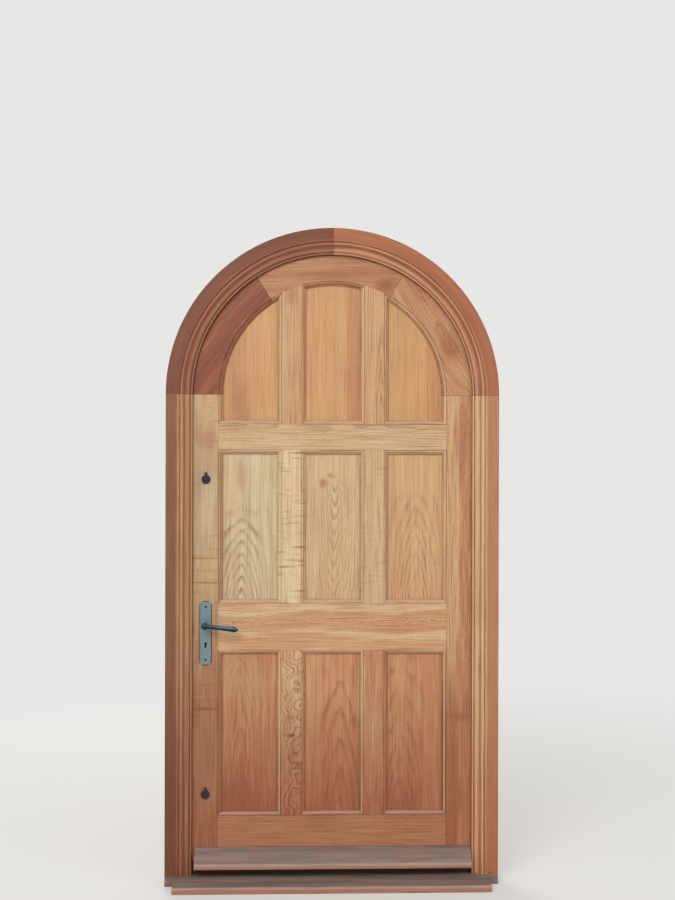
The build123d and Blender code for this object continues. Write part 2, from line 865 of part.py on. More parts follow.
# Panels, held in the grooves between the mouldings
panel_front = leaf_middle - panel_thickness / 2
for (x_low, x_high), column_name in zip(columns, column_names):
    for (low, high), row_name in zip(low_rows, row_names):
        panel = block(
            (x_low + panel_edge_gap, x_high - panel_edge_gap),
            (panel_front, panel_front + panel_thickness),
            (low + panel_edge_gap, high - panel_edge_gap),
        )
        write(panel, f"{row_name}_panel_{column_name}")
    with BuildPart() as panel:
        with BuildSketch(Plane.XZ.offset(-panel_front)):
            with Locations((0, spring_height)):
                Circle(arc_edge - panel_edge_gap)
            with Locations((0, spring_height - arc_edge / 2)):
                Rectangle(2 * (arc_edge - panel_edge_gap), arc_edge)
            with Locations(((x_low + x_high) / 2, upper_rail_high + panel_edge_gap + arc_edge)):
                Rectangle(x_high - x_low - 2 * panel_edge_gap, 2 * arc_edge, mode=Mode.INTERSECT)
        extrude(amount=-panel_thickness)
    write(panel.part, f"top_panel_{column_name}")

# Weatherboard across the foot of the leaf
board_left = -sight_radius + board_lock_gap
board_length = 2 * sight_radius - board_lock_gap - board_hinge_gap
with BuildPart() as board:
    with BuildSketch(Plane.YZ.offset(board_left)):
        with BuildLine():
            Polyline(
                (leaf_front, board_high),
                (leaf_front - board_top_thickness, board_high),
                (leaf_front - board_projection, board_low + board_nose),
                (leaf_front - board_projection, board_low),
                (leaf_front, board_low),
                (leaf_front, board_high),
            )
        make_face()
    extrude(amount=board_length)
    fillet(board.edges().filter_by(Axis.X).group_by(Axis.Y)[0].sort_by(Axis.Z)[-1], radius=board_nose_round)
    fillet(board.edges().filter_by(Axis.X).group_by(Axis.Z)[-1].sort_by(Axis.Y)[0], radius=board_top_round)
    add(
        rod(
            (board_left - 1, leaf_front - board_projection + board_drip_inset, board_low),
            (1, 0, 0),
            board_drip_radius,
            board_length + 2,
        ),
        mode=Mode.SUBTRACT,
    )
write(board.part, "weatherboard")

# Mortice locks: a folded case open for its bolts, spindle and key, on a forend
for lock, (low, high) in lock_cases.items():
    case_back = -leaf_radius + forend_thickness + case_depth
    half = case_thickness / 2
    with BuildPart() as case:
        width = (leaf_middle - half, leaf_middle + half)
        add(block((-leaf_radius + forend_thickness, case_back), width, (low, high)))
        forend_low, forend_high = forend_range(lock)
        add(
            block(
                (-leaf_radius, -leaf_radius + forend_thickness),
                (leaf_middle - forend_width / 2, leaf_middle + forend_width / 2),
                (forend_low, forend_high),
            )
        )
        windows = bolt_windows(lock)
        for index, (bolt_low, bolt_high, throw) in enumerate(windows):
            length = bolt_length + bolt_throw if index == 0 else latch_length
            reach = -leaf_radius + length + 2
            add(
                block(
                    (-leaf_radius - 1, reach),
                    (
                        leaf_middle - bolt_thickness / 2 - bolt_play,
                        leaf_middle + bolt_thickness / 2 + bolt_play,
                    ),
                    (bolt_low - bolt_play, bolt_high + bolt_play),
                ),
                mode=Mode.SUBTRACT,
            )
        add(keyhole((leaf_front, leaf_back), key_heights[lock], 0.4), mode=Mode.SUBTRACT)
        if lock == "sash_lock":
            add(
                rod((key_x, leaf_front, spindle_height), (0, 1, 0), follower_radius, leaf_thickness),
                mode=Mode.SUBTRACT,
            )
        for place in forend_screws(lock):
            add(countersunk(place, (1, 0, 0), screw_play), mode=Mode.SUBTRACT)
    write(case.part, f"{lock}_case")

# Keeps let into the lock jamb
for lock in lock_cases:
    low, high = forend_range(lock)
    with BuildPart() as keep:
        add(
            block(
                (-rebate_radius - keep_thickness, -rebate_radius),
                (leaf_middle - keep_width / 2, frame_depth),
                (low, high),
            )
        )
        for low, high, throw in bolt_windows(lock):
            add(
                block(
                    (-rebate_radius - keep_thickness - 1, -rebate_radius + 1),
                    (
                        leaf_middle - bolt_thickness / 2 - keep_hole_play,
                        leaf_middle + bolt_thickness / 2 + keep_hole_play,
                    ),
                    (low - keep_hole_play, high + keep_hole_play),
                ),
                mode=Mode.SUBTRACT,
            )
        for place in keep_screws(lock):
            add(countersunk(place, (-1, 0, 0), screw_play), mode=Mode.SUBTRACT)
    write(keep.part, keep_names[lock])

# Bolts: square deadbolts drawn back into their cases, and the bevelled latch standing out
for lock in lock_cases:
    low, high, throw = bolt_windows(lock)[0]
    bolt = block(
        (-leaf_radius + bolt_inset, -leaf_radius + bolt_inset + bolt_length),
        (leaf_middle - bolt_thickness / 2, leaf_middle + bolt_thickness / 2),
        (low, high),
    )
    write(bolt, bolt_names[lock])
low, high, throw = bolt_windows("sash_lock")[1]
with BuildPart() as latch:
    with BuildSketch(Plane.XY.offset(low)):
        with BuildLine():
            tip = -leaf_radius - latch_throw
            Polyline(
                (tip, leaf_middle - bolt_thickness / 2),
                (tip, leaf_middle - bolt_thickness / 2 + 2),
                (-leaf_radius - 1, leaf_middle + bolt_thickness / 2),
                (tip + latch_length, leaf_middle + bolt_thickness / 2),
                (tip + latch_length, leaf_middle - bolt_thickness / 2),
                (tip, leaf_middle - bolt_thickness / 2),
            )
        make_face()
    extrude(amount=high - low)
write(latch.part, "latch_bolt")

# Handle plates with stepped, rounded ends
for outside, name in ((True, "outside_handle_plate"), (False, "inside_handle_plate")):
    face = leaf_front if outside else leaf_back
    away = -1 if outside else 1
    half = plate_width / 2
    step = plate_shoulder_step
    with BuildPart() as plate:
        with BuildSketch(Plane.XZ.offset(-face)):
            with BuildLine():
                for end, sign in ((plate_high, 1), (plate_low, -1)):
                    shoulder = end - sign * plate_shoulder
                    ThreePointArc(
                        (key_x - half + step, shoulder + sign * step),
                        (key_x, end),
                        (key_x + half - step, shoulder + sign * step),
                    )
                    Line((key_x - half, shoulder), (key_x - half + step, shoulder + sign * step))
                    Line((key_x + half, shoulder), (key_x + half - step, shoulder + sign * step))
                for side in (-1, 1):
                    Line(
                        (key_x + side * half, plate_high - plate_shoulder),
                        (key_x + side * half, plate_low + plate_shoulder),
                    )
            make_face()
        extrude(amount=-away * plate_thickness)
        front = plate.faces().sort_by(Axis.Y)[0 if outside else -1]
        chamfer(front.outer_wire().edges(), length=plate_edge_round)
        add(
            rod((key_x, face, spindle_height), (0, away, 0), rose_radius, rose_height),
        )
        add(
            rod((key_x, face - away, spindle_height), (0, away, 0), neck_radius + neck_play, rose_height + 2),
            mode=Mode.SUBTRACT,
        )
        add(keyhole((face - 5, face + 5), keyhole_height), mode=Mode.SUBTRACT)
        for head, inward in plate_screws:
            if inward[1] == -away:
                add(countersunk(head, inward, screw_play), mode=Mode.SUBTRACT)
    write(plate.part, name)

# Levers: a neck through the plate, and a tapered arm that ends in a collar and a pointed finial
collar_start = lever_reach - 24.0
collar_end = collar_start + collar_width
finial_end = lever_reach - 1.5
for outside, name in ((True, "outside_lever"), (False, "inside_lever")):
    face = leaf_front if outside else leaf_back
    away = -1 if outside else 1
    arm_y = face + away * lever_standoff
    foot = away * neck_foot_gap
    shoulder = away * (lever_standoff - sqrt(elbow_radius * elbow_radius - neck_radius * neck_radius))
    tip = away * (lever_standoff + elbow_radius)
    with BuildPart() as lever:
        neck_plane = Plane(origin=(key_x, face, spindle_height), x_dir=(-1, 0, 0), z_dir=(0, 0, -1))
        with BuildSketch(neck_plane):
            with BuildLine():
                Polyline((0, foot), (neck_radius, foot), (neck_radius, shoulder))
                ThreePointArc((neck_radius, shoulder), (elbow_radius, away * lever_standoff), (0, tip))
                Line((0, tip), (0, foot))
            make_face()
        revolve(axis=Axis((key_x, 0, spindle_height), (0, 1, 0)))
        direction = Vector(cos(radians(lever_droop)), 0, -sin(radians(lever_droop)))
        elbow = (key_x, arm_y, spindle_height)
        arm_plane = Plane(origin=elbow, x_dir=direction, z_dir=direction.cross(Vector(0, 1, 0)))
        with BuildSketch(arm_plane):
            with BuildLine():
                Line((0, 0), (0, arm_radius_root))
                Spline(
                    (0, arm_radius_root), (collar_start / 2, arm_radius_waist), (collar_start, arm_radius_tip)
                )
                Polyline(
                    (collar_start, arm_radius_tip),
                    (collar_start, collar_radius),
                    (collar_end, collar_radius),
                    (collar_end, arm_radius_tip),
                )
                Spline(
                    (collar_end, arm_radius_tip),
                    (collar_end + 6, finial_radius),
                    (collar_end + 13, finial_radius * 0.62),
                    (finial_end, finial_tip),
                    tangents=((0.6, 1), (1, -0.5)),
                )
                Polyline((finial_end, finial_tip), (lever_reach, finial_tip / 2), (lever_reach, 0), (0, 0))
            make_face()
        revolve(axis=Axis(arm_plane.origin, direction))
        add(
            block(
                (key_x - spindle_size / 2 - spindle_play, key_x + spindle_size / 2 + spindle_play),
                span(face, face + away * spindle_hole_depth),
                (
                    spindle_height - spindle_size / 2 - spindle_play,
                    spindle_height + spindle_size / 2 + spindle_play,
                ),
            ),
            mode=Mode.SUBTRACT,
        )
    write(lever.part, name)

# Spindle between the levers, through the follower in the lock
spindle = block(
    (key_x - spindle_size / 2, key_x + spindle_size / 2),
    (leaf_front - spindle_reach, leaf_back + spindle_reach),
    (spindle_height - spindle_size / 2, spindle_height + spindle_size / 2),
)
write(spindle, "spindle")
with BuildPart() as follower:
    add(
        rod(
            (key_x, leaf_middle - case_thickness / 2, spindle_height),
            (0, 1, 0),
            follower_radius - follower_play,
            case_thickness,
        )
    )
    half = spindle_size / 2 + spindle_play
    add(
        block(
            (key_x - half, key_x + half),
            (leaf_front, leaf_back),
            (spindle_height - half, spindle_height + half),
        ),
        mode=Mode.SUBTRACT,
    )
write(follower.part, "follower")

# Escutcheons: outside each has a pivot stud for its drop cover, inside each is plain
for lock, prefix in (("upper_deadlock", "upper"), ("lower_deadlock", "lower")):
    z_key = key_heights[lock]
    pivot = z_key + cover_pivot_rise
    face = leaf_front - escutcheon_thickness
    with BuildPart() as escutcheon:
        with BuildSketch(Plane.XZ.offset(-face)):
            with Locations((key_x, z_key)):
                Circle(escutcheon_radius)
            with Locations((key_x, pivot)):
                Circle(cover_lobe_radius)
            with Locations((key_x, (z_key + pivot) / 2)):
                Rectangle(cover_lobe_radius * 1.7, cover_pivot_rise)
        extrude(amount=-escutcheon_thickness)
        add(keyhole((face - 1, leaf_front + 1), z_key), mode=Mode.SUBTRACT)
        stud = cover_gap + cover_thickness + cover_gap
        with BuildSketch(Plane(origin=(key_x, face, pivot), x_dir=(1, 0, 0), z_dir=(0, 0, 1))):
            with BuildLine():
                Polyline(
                    (0, escutcheon_thickness / 2),
                    (pivot_radius, escutcheon_thickness / 2),
                    (pivot_radius, -stud),
                    (pivot_head_radius, -stud),
                    (pivot_head_radius, -stud - pivot_head_edge),
                )
                Spline(
                    (pivot_head_radius, -stud - pivot_head_edge),
                    (pivot_head_radius * 0.72, -stud - pivot_head_height * 0.8),
                    (0, -stud - pivot_head_height),
                    tangents=((0, -1), (-1, 0)),
                )
                Line((0, -stud - pivot_head_height), (0, escutcheon_thickness / 2))
            make_face()
        revolve(axis=Axis((key_x, 0, pivot), (0, 1, 0)))
    write(escutcheon.part, f"{prefix}_escutcheon")

    cover_back = face - cover_gap
    with BuildPart() as cover:
        with BuildSketch(Plane.XZ.offset(-cover_back)):
            with Locations((key_x, z_key)):
                Circle(cover_radius)
        extrude(amount=cover_thickness)
        fillet(cover.faces().sort_by(Axis.Y)[0].edges(), radius=cover_round)
        with BuildSketch(Plane.XZ.offset(-cover_back)):
            with Locations((key_x, pivot)):
                Circle(cover_lobe_radius)
            with Locations((key_x, z_key + cover_pivot_rise * 0.62)):
                Rectangle(cover_lobe_radius * 1.7, cover_pivot_rise * 0.76)
        extrude(amount=cover_thickness * 0.8)
        add(
            rod((key_x, cover_back + 1, pivot), (0, -1, 0), pivot_radius + pivot_play, cover_thickness + 2),
            mode=Mode.SUBTRACT,
        )
    write(cover.part, f"{prefix}_keyhole_cover")

with BuildPart() as inner_escutcheons:
    for z_key in (upper_key_height, lower_key_height):
        with BuildSketch(Plane.XZ.offset(-leaf_back)):
            with Locations((key_x, z_key)):
                Circle(cover_radius)
        extrude(amount=-escutcheon_thickness)
        add(keyhole((leaf_back - 1, leaf_back + 4), z_key), mode=Mode.SUBTRACT)
write(inner_escutcheons.part, "inner_escutcheons")

# Butt hinges on the inside face, with alternate knuckles on each leaf
for number, centre in enumerate(hinge_heights, start=1):
    pitch = hinge_length / knuckle_count
    low = centre - hinge_length / 2
    for on_frame, name in ((True, f"hinge_frame_leaf_{number}"), (False, f"hinge_door_leaf_{number}")):
        plate_face = frame_plate_face if on_frame else leaf_plate_face
        outward = 1 if on_frame else -1
        x_range = span(plate_face, plate_face + outward * hinge_leaf_thickness)
        with BuildPart() as leaf:
            add(block(x_range, (leaf_back - hinge_leaf_width, leaf_back), (low, low + hinge_length)))
            for index in range(knuckle_count):
                if (index % 2 == 0) == on_frame:
                    z_low = low + index * pitch + (knuckle_play / 2 if index else 0)
                    last = index == knuckle_count - 1
                    z_high = low + (index + 1) * pitch - (0 if last else knuckle_play / 2)
                    add(rod((pin_x, pin_y, z_low), (0, 0, 1), knuckle_radius, z_high - z_low))
                    add(block(x_range, (leaf_back - 1, pin_y), (z_low, z_high)))
            add(
                rod((pin_x, pin_y, low - 1), (0, 0, 1), pin_radius + pin_play, hinge_length + 2),
                mode=Mode.SUBTRACT,
            )
            for y, z in hinge_screw_places:
                if abs(z - centre) < hinge_length / 2:
                    add(
                        countersunk((plate_face + outward * screw_sink, y, z), (outward, 0, 0), screw_play),
                        mode=Mode.SUBTRACT,
                    )
        write(leaf.part, name)

with BuildPart() as pins:
    for centre in hinge_heights:
        add(rod((pin_x, pin_y, centre - hinge_length / 2), (0, 0, 1), pin_radius, hinge_length))
        add(rod((pin_x, pin_y, centre + hinge_length / 2), (0, 0, 1), pin_head_radius, pin_head_height))
write(pins.part, "hinge_pins")

# Screws
with BuildPart() as frame_screws:
    for y, z in hinge_screw_places:
        add(countersunk((frame_plate_face + screw_sink, y, z), (1, 0, 0)))
    for lock in lock_cases:
        for place in keep_screws(lock):
            add(countersunk(place, (-1, 0, 0)))
write(frame_screws.part, "frame_screws")
with BuildPart() as leaf_screws:
    for y, z in hinge_screw_places:
        add(countersunk((leaf_plate_face - screw_sink, y, z), (-1, 0, 0)))
    for lock in lock_cases:
        for place in forend_screws(lock):
            add(countersunk(place, (1, 0, 0)))
    for head, inward in plate_screws:
        add(countersunk(head, inward))
write(leaf_screws.part, "leaf_screws")
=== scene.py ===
import math
from dataclasses import dataclass

import bmesh
import bpy
from bpy.props import FloatProperty, FloatVectorProperty, PointerProperty
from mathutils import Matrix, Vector


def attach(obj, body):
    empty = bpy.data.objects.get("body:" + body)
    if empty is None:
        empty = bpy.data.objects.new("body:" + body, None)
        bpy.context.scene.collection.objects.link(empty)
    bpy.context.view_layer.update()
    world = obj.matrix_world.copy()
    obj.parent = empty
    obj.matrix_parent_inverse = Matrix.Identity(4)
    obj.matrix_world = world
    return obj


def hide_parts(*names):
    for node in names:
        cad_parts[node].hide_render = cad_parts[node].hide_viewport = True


bl_info = {
    "name": "Arched Oak Door",
    "version": (1, 0, 0),
    "blender": (4, 5, 0),
    "location": "3D View > Sidebar > Oak Door",
    "description": "Dresses a round-headed oak entrance door and its frame",
    "category": "Object",
}

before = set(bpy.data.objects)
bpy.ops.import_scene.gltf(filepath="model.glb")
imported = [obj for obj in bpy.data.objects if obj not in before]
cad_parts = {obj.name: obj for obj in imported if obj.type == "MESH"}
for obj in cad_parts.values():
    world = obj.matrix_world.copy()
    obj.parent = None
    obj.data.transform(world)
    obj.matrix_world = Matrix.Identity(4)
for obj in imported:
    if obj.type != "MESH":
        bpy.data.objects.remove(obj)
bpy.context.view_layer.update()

# The door, in metres
SPRING_HEIGHT = 1.765       # where the arch springs from the jambs
HEAD_RADIUS = 0.55          # middle of the frame's head, from the arch's centre
STILE_EDGE = 0.413          # half the width between the stiles
SIGHT = 0.504               # half the opening between the frame's inner edges
PANEL_ARC = 0.399           # visible edge of the outer panels, and its radius round the arch
OUTER_FACE = 0.021          # outer face of the leaf
INNER_FACE = 0.075
LEAF_MIDDLE = (OUTER_FACE + INNER_FACE) / 2
WEATHERBOARD_ARRIS = (-0.0275, 0.0825)      # depth and height of the front arris
SILL_ARRIS = (-0.0785, 0.0205)
SHADED_FOOT = (0.090, 0.076)  # heights between which the leaf's face is painted near black, as painted shade under the weatherboard

# Heights of the edges of the rails, where the muntins meet them
BOTTOM_RAIL_TOP, LOCK_RAIL_FOOT, LOCK_RAIL_TOP = 0.246, 0.844, 1.012
UPPER_RAIL_FOOT, UPPER_RAIL_TOP = 1.567, 1.659
LIP = 0.014                 # moulding worked round each panel
MUNTIN_MIDDLE, MUNTIN_HALF = 0.1495, 0.0355

# Mouldings: middle and half width of each line, from the frame's inner edge or from the leaf's face. The
# frame's grooves and the lips' quirks and corners get painted shade, the frame's crests and the lips' middles
# get painted highlights.
FRAME_GROOVES = ((0.0091, 0.0022), (0.0310, 0.0045), (0.0455, 0.0022))
FRAME_CRESTS = ((0.0042, 0.0028), (0.0180, 0.0055), (0.0400, 0.0042))
LIP_QUIRK, LIP_CORNER, LIP_MIDDLE = 0.0034, 0.0138, 0.008

# Locks and handles
KEY_X = -0.457              # middle line of the locks and handles
KEYHOLES = (0.324, 0.868, 1.459)
PLATE_DEPTH = 0.003         # thickness of the handle plates
PLATE_MIDDLE, PLATE_HALF_WIDTH, PLATE_HALF_HEIGHT = 0.905, 0.022, 0.116
CURTAIN_RADIUS, CURTAIN_DEPTH, CURTAIN_DROP, CURTAIN_RIM = 0.0052, 0.004, 0.0112, 0.0011

# Wood screws: their measures, and where the tops of their heads lie
SCREW_HEAD, SCREW_SHANK, SCREW_DISC = 0.00415, 0.00200, 0.0003
HEAD_DEPTH, SHANK_LENGTH, POINT_LENGTH = 0.0017, 0.0140, 0.0050
SLOT_HALF_WIDTH, SLOT_DEPTH = 0.00045, 0.0009
POINT_SHARE = 0.12          # width of the point's tip, against the shank's
SLOT_TURN = 2.4             # each slot is turned this much further than the last, in radians
SHARP = math.radians(35)    # edges that turn more than this stay sharp
HINGE_HEIGHTS = (0.250, 0.940, 1.620)
HINGE_SCREWS = ((0.053, -0.036), (0.063, -0.012), (0.053, 0.012), (0.063, 0.036))
LOCK_SCREWS = (0.2935, 0.3705, 0.8235, 0.9795, 1.4285, 1.5055)
PLATE_SCREWS = (0.810, 1.000)
DOOR_HINGE_FACE, FRAME_HINGE_FACE = 0.5151, 0.5159
FOREND_FACE, KEEP_FACE = -0.5138, -0.5172

# Camera, worked out from the photograph's lines, and lamps
CAMERA_PLACE = (-0.1081, -3.9757, 1.4531)
CAMERA_TURN = (90, -0.16, -1.79)
LENS, SENSOR, SHIFT = 44.23, 36, 0.0349
KEY_PLACE, SIDE_PLACE, BACK_PLACE = (-1.5, -3.9, 3.8), (3.4, -2.6, 2.0), (-1.8, 4.2, 3.2)
KEY_SIZE, FILL_SIZE = 2.6, 2.4
DOOR_MIDDLE = (0, 0, 1.15)
ROOM_TONE = (0.80, 0.80, 0.79, 1)
SKY_TONE = (1.0, 0.985, 0.97, 1)
FLOOR_SIZE, FLOOR_DEPTH = 60, -0.0005
FLOOR_FADE = (0.9, 4.5)     # distances between which the floor fades into the background


def tone(red, green, blue):
    """Colour from 0 to 255, as the eye sees it, in the linear numbers that a shader takes."""
    channels = [value / 255 for value in (red, green, blue)]
    return tuple(c / 12.92 if c <= 0.04045 else ((c + 0.055) / 1.055) ** 2.4 for c in channels)


def colour_prop(name, description, shade):
    return FloatVectorProperty(
        name=name, description=description, subtype="COLOR", size=3, min=0.0, max=1.0, default=tone(*shade)
    )


def length_prop(name, description, metres):
    return FloatProperty(
        name=name, description=description, unit="LENGTH", min=0.0, precision=5, default=metres
    )


def factor_prop(name, description, amount):
    return FloatProperty(
        name=name, description=description, subtype="FACTOR", min=0.0, max=1.0, default=amount
    )


def power_prop(name, description, watts):
    return FloatProperty(name=name, description=description, unit="POWER", min=0.0, default=watts)


class DoorOakTones(bpy.types.PropertyGroup):
    """Tones of the oak boards"""

    pale: colour_prop("Pale", "Quarter-sawn board, nearly cream", (214, 197, 160))
    cream: colour_prop("Cream", "Palest rails and panels", (203, 176, 138))
    honey: colour_prop("Honey", "Stiles and rails at middle height", (196, 162, 120))
    gold: colour_prop("Gold", "Warmest upper panels", (204, 156, 104))
    tan: colour_prop("Tan", "Upper panels", (194, 147, 105))
    copper: colour_prop("Copper", "Lower panels", (182, 122, 88))
    russet: colour_prop("Russet", "Reddest boards", (150, 86, 60))
    umber: colour_prop("Umber", "Darkest boards of the head", (122, 68, 48))
    # Painted shadow: this tone stands for the shade that the wall beside the frame casts on its outer band.
    shade: colour_prop("Shade", "Outer edge of the frame, long out of the sun", (104, 62, 42))
    dusty: colour_prop("Dusty", "Greyer top of the lock stile", (180, 156, 116))
    grain: colour_prop("Grain", "Lines of the growth rings", (112, 62, 42))
    weathered: colour_prop("Weathered", "Weatherboard and sill", (132, 116, 108))
    # This tone paints the pale line along the weatherboard's and the sill's arrises, part wear and part
    # painted highlight, and the painted highlight on the leaf's upward ledges.
    arris: colour_prop("Arris", "Worn front arrises of the weatherboard and sill", (186, 156, 142))


class DoorGrain(bpy.types.PropertyGroup):
    """How the oak's figure is drawn"""

    ring: length_prop("Ring", "Usual distance between growth rings", 0.0066)
    pore_depth: length_prop("Pore Depth", "How deep the open pores look", 0.0003)
    joint: length_prop("Joint", "Width of the fine line at a joint", 0.0016)


class DoorMetal(bpy.types.PropertyGroup):
    """Tones of the ironmongery"""

    pewter: colour_prop("Pewter", "Handle plates", (116, 136, 140))
    plate_edge: colour_prop("Plate Edge", "Dark edge of the handle plates", (46, 52, 58))
    iron: colour_prop("Iron", "Levers", (30, 44, 58))
    # This tone is the painted highlight along the levers' upper side.
    lever_highlight: colour_prop("Worn Iron", "Upper side of the levers, polished by hands", (74, 126, 152))
    cover: colour_prop("Cover", "Keyhole covers and escutcheons", (46, 52, 64))
    steel: colour_prop("Steel", "Locks, keeps and hinges", (168, 168, 166))


class DoorStage(bpy.types.PropertyGroup):
    """Floor and lamps"""

    floor: colour_prop("Floor", "Pale floor", (214, 212, 208))
    key_power: power_prop("Key", "Power of the main soft lamp", 135.0)
    fill_power: power_prop("Fill", "Power of the side lamp; the back lamp has 2.5 times as much", 40.0)
    sky: factor_prop("Sky", "Strength of the even light from all round", 0.62)


class Term:
    """A shader socket that takes part in Python arithmetic."""

    def __init__(self, finish, socket):
        self.finish, self.socket = finish, socket

    def math(self, operation, *others):
        return self.finish.node("ShaderNodeMath", {"operation": operation}, dict(enumerate((self, *others))))

    def __add__(self, other):
        return self.math("ADD", other)

    def __sub__(self, other):
        return self.math("SUBTRACT", other)

    def __rsub__(self, other):
        return self.finish.node("ShaderNodeMath", {"operation": "SUBTRACT"}, {0: other, 1: self})

    def __mul__(self, other):
        return self.math("MULTIPLY", other)

    def __truediv__(self, other):
        return self.math("DIVIDE", other)

    __radd__, __rmul__ = __add__, __mul__

    def __abs__(self):
        return self.math("ABSOLUTE")

    def fract(self):
        return self.math("FRACT")

    def root(self):
        return self.math("SQRT")

    def limit(self):
        return self.finish.node("ShaderNodeClamp", {}, {"Value": self})

    def smooth(self, low, high):
        """0 at low and beyond it, 1 at high and beyond it, with a soft step between them."""
        if low > high:
            return 1 - self.smooth(high, low)
        values = {"Value": self, "From Min": low, "From Max": high}
        return self.finish.node("ShaderNodeMapRange", {"interpolation_type": "SMOOTHSTEP"}, values)


class Finish:
    """A material under construction."""

    def __init__(self, name):
        self.material = bpy.data.materials.new(name)
        self.material.use_nodes = True
        self.tree = self.material.node_tree
        self.tree.nodes.clear()
        self.shader = self.tree.nodes.new("ShaderNodeBsdfPrincipled")
        self.output = self.tree.nodes.new("ShaderNodeOutputMaterial")
        self.tree.links.new(self.shader.outputs[0], self.output.inputs["Surface"])
        self.place = self.node("ShaderNodeTexCoord", out="Object")
        parts = self.node("ShaderNodeSeparateXYZ", values={0: self.place}, out=None)
        self.x, self.y, self.z = (Term(self, parts.outputs[i]) for i in range(3))
        normal = self.node("ShaderNodeTexCoord", out="Normal")
        facing = self.node("ShaderNodeSeparateXYZ", values={0: normal}, out=None)
        self.sideward, self.upward = Term(self, facing.outputs[0]), Term(self, facing.outputs[2])

    def node(self, kind, settings=None, values=None, out=0):
        """Adds a node: its settings first, then the values or links of its sockets."""
        node = self.tree.nodes.new(kind)
        for key, value in (settings or {}).items():
            setattr(node, key, value)
        for key, value in (values or {}).items():
            if isinstance(value, Term):
                self.tree.links.new(value.socket, node.inputs[key])
            else:
                node.inputs[key].default_value = value
        return node if out is None else Term(self, node.outputs[out])

    def vector(self, x, y, z):
        return self.node("ShaderNodeCombineXYZ", values={0: x, 1: y, 2: z})

    def along(self, direction, origin=(0, 0, 0)):
        """Distance from an origin, counted along a direction."""
        kind = "ShaderNodeVectorMath"
        away = self.node(kind, {"operation": "SUBTRACT"}, {0: self.place, 1: origin})
        return self.node(kind, {"operation": "DOT_PRODUCT"}, {0: away, 1: direction}, "Value")

    def noise(self, position, scale=1.0, detail=2.0, out=0):
        values = {"Vector": position, "Scale": scale, "Detail": detail}
        return self.node("ShaderNodeTexNoise", {}, values, out)

    def mix(self, factor, first, second, blend="MIX"):
        """Colour between two colours."""
        values = {0: factor, 6: self.colour(first), 7: self.colour(second)}
        return self.node("ShaderNodeMix", {"data_type": "RGBA", "blend_type": blend}, values, 2)

    @staticmethod
    def colour(value):
        return value if isinstance(value, Term) else (*tuple(value)[:3], 1.0)

    def set(self, **sockets):
        """Values or links of the shader's own sockets, with spaces written as underscores."""
        for key, value in sockets.items():
            socket = self.shader.inputs[key.replace("_", " ")]
            if isinstance(value, Term):
                self.tree.links.new(value.socket, socket)
            else:
                socket.default_value = value

    def bump(self, height, distance):
        values = {"Height": height, "Distance": distance, "Strength": 1.0}
        self.set(Normal=self.node("ShaderNodeBump", {}, values))


def paint(material, *nodes):
    """Gives a material to the slots of frame nodes."""
    for name in nodes:
        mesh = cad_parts[name].data
        if not mesh.materials:
            mesh.materials.append(material)
        for index in range(len(mesh.materials)):
            mesh.materials[index] = material


UPRIGHT = ((0, 0, 1), (1, 0, 0))
LEVEL = ((1, 0, 0), (0, 0, 1))


def slanting(degrees_up):
    """Grain direction and the direction across it, in the plane of the leaf."""
    angle = math.radians(degrees_up)
    return (math.cos(angle), 0, math.sin(angle)), (-math.sin(angle), 0, math.cos(angle))


@dataclass
class Board:
    """What sets one board apart: its tones, how it was sawn from the log, and its marks."""

    light: str                      # tones of its pale and its dark growth
    deep: str
    axes: tuple                     # direction of the grain, and across it
    origin: tuple                   # where both are counted from
    pith: tuple = (0.0, 0.06)       # how far across and how deep the log's middle lies
    slope: float = 0.0              # how that middle tilts along the grain
    rise: float = 0.0               # how the rings taper along the grain, which draws pointed arches
    reach: float = 9.0              # how far along the grain the ring lines show
    coarse: float = 1.0             # distance between the rings, against the usual one
    swirl: float = 0.02             # how far the rings wander
    curl: float = 1.7               # how often they do so along the grain
    line: float = 0.55              # strength of the ring lines, the streaks and the rays
    fine: float = 0.42
    rays: float = 0.0
    seed: float = 0.0
    dim: float = 1.0                # darkening of the whole board
    foot: str = "russet"            # tone near the ground, darker in part from weathering and in part from painted shade, and the height where it starts
    foot_height: float = 0.80
    wall_shadow_tone: str = None               # tone of the frame's outer band, painted shadow from the wall beside the frame
    crest: float = 0.42             # strength of the painted highlights on the crests of the frame's moulding
    arc: bool = False               # bent round the arch
    ends: tuple = ()                # joints: direction, and distance along it
    strips: tuple = ()              # upright strips: start and end in x, tone, amount
    marks: tuple = ()               # x, z, half width, half height, tone, amount
    kind: str = "leaf"              # leaf, frame or panel
    bounds: tuple = None            # visible edges of a panel


def arch_radius(wood):
    """Distance from the arch's centre, and height above it."""
    height = wood.z - SPRING_HEIGHT
    return (wood.x * wood.x + height * height).root(), height


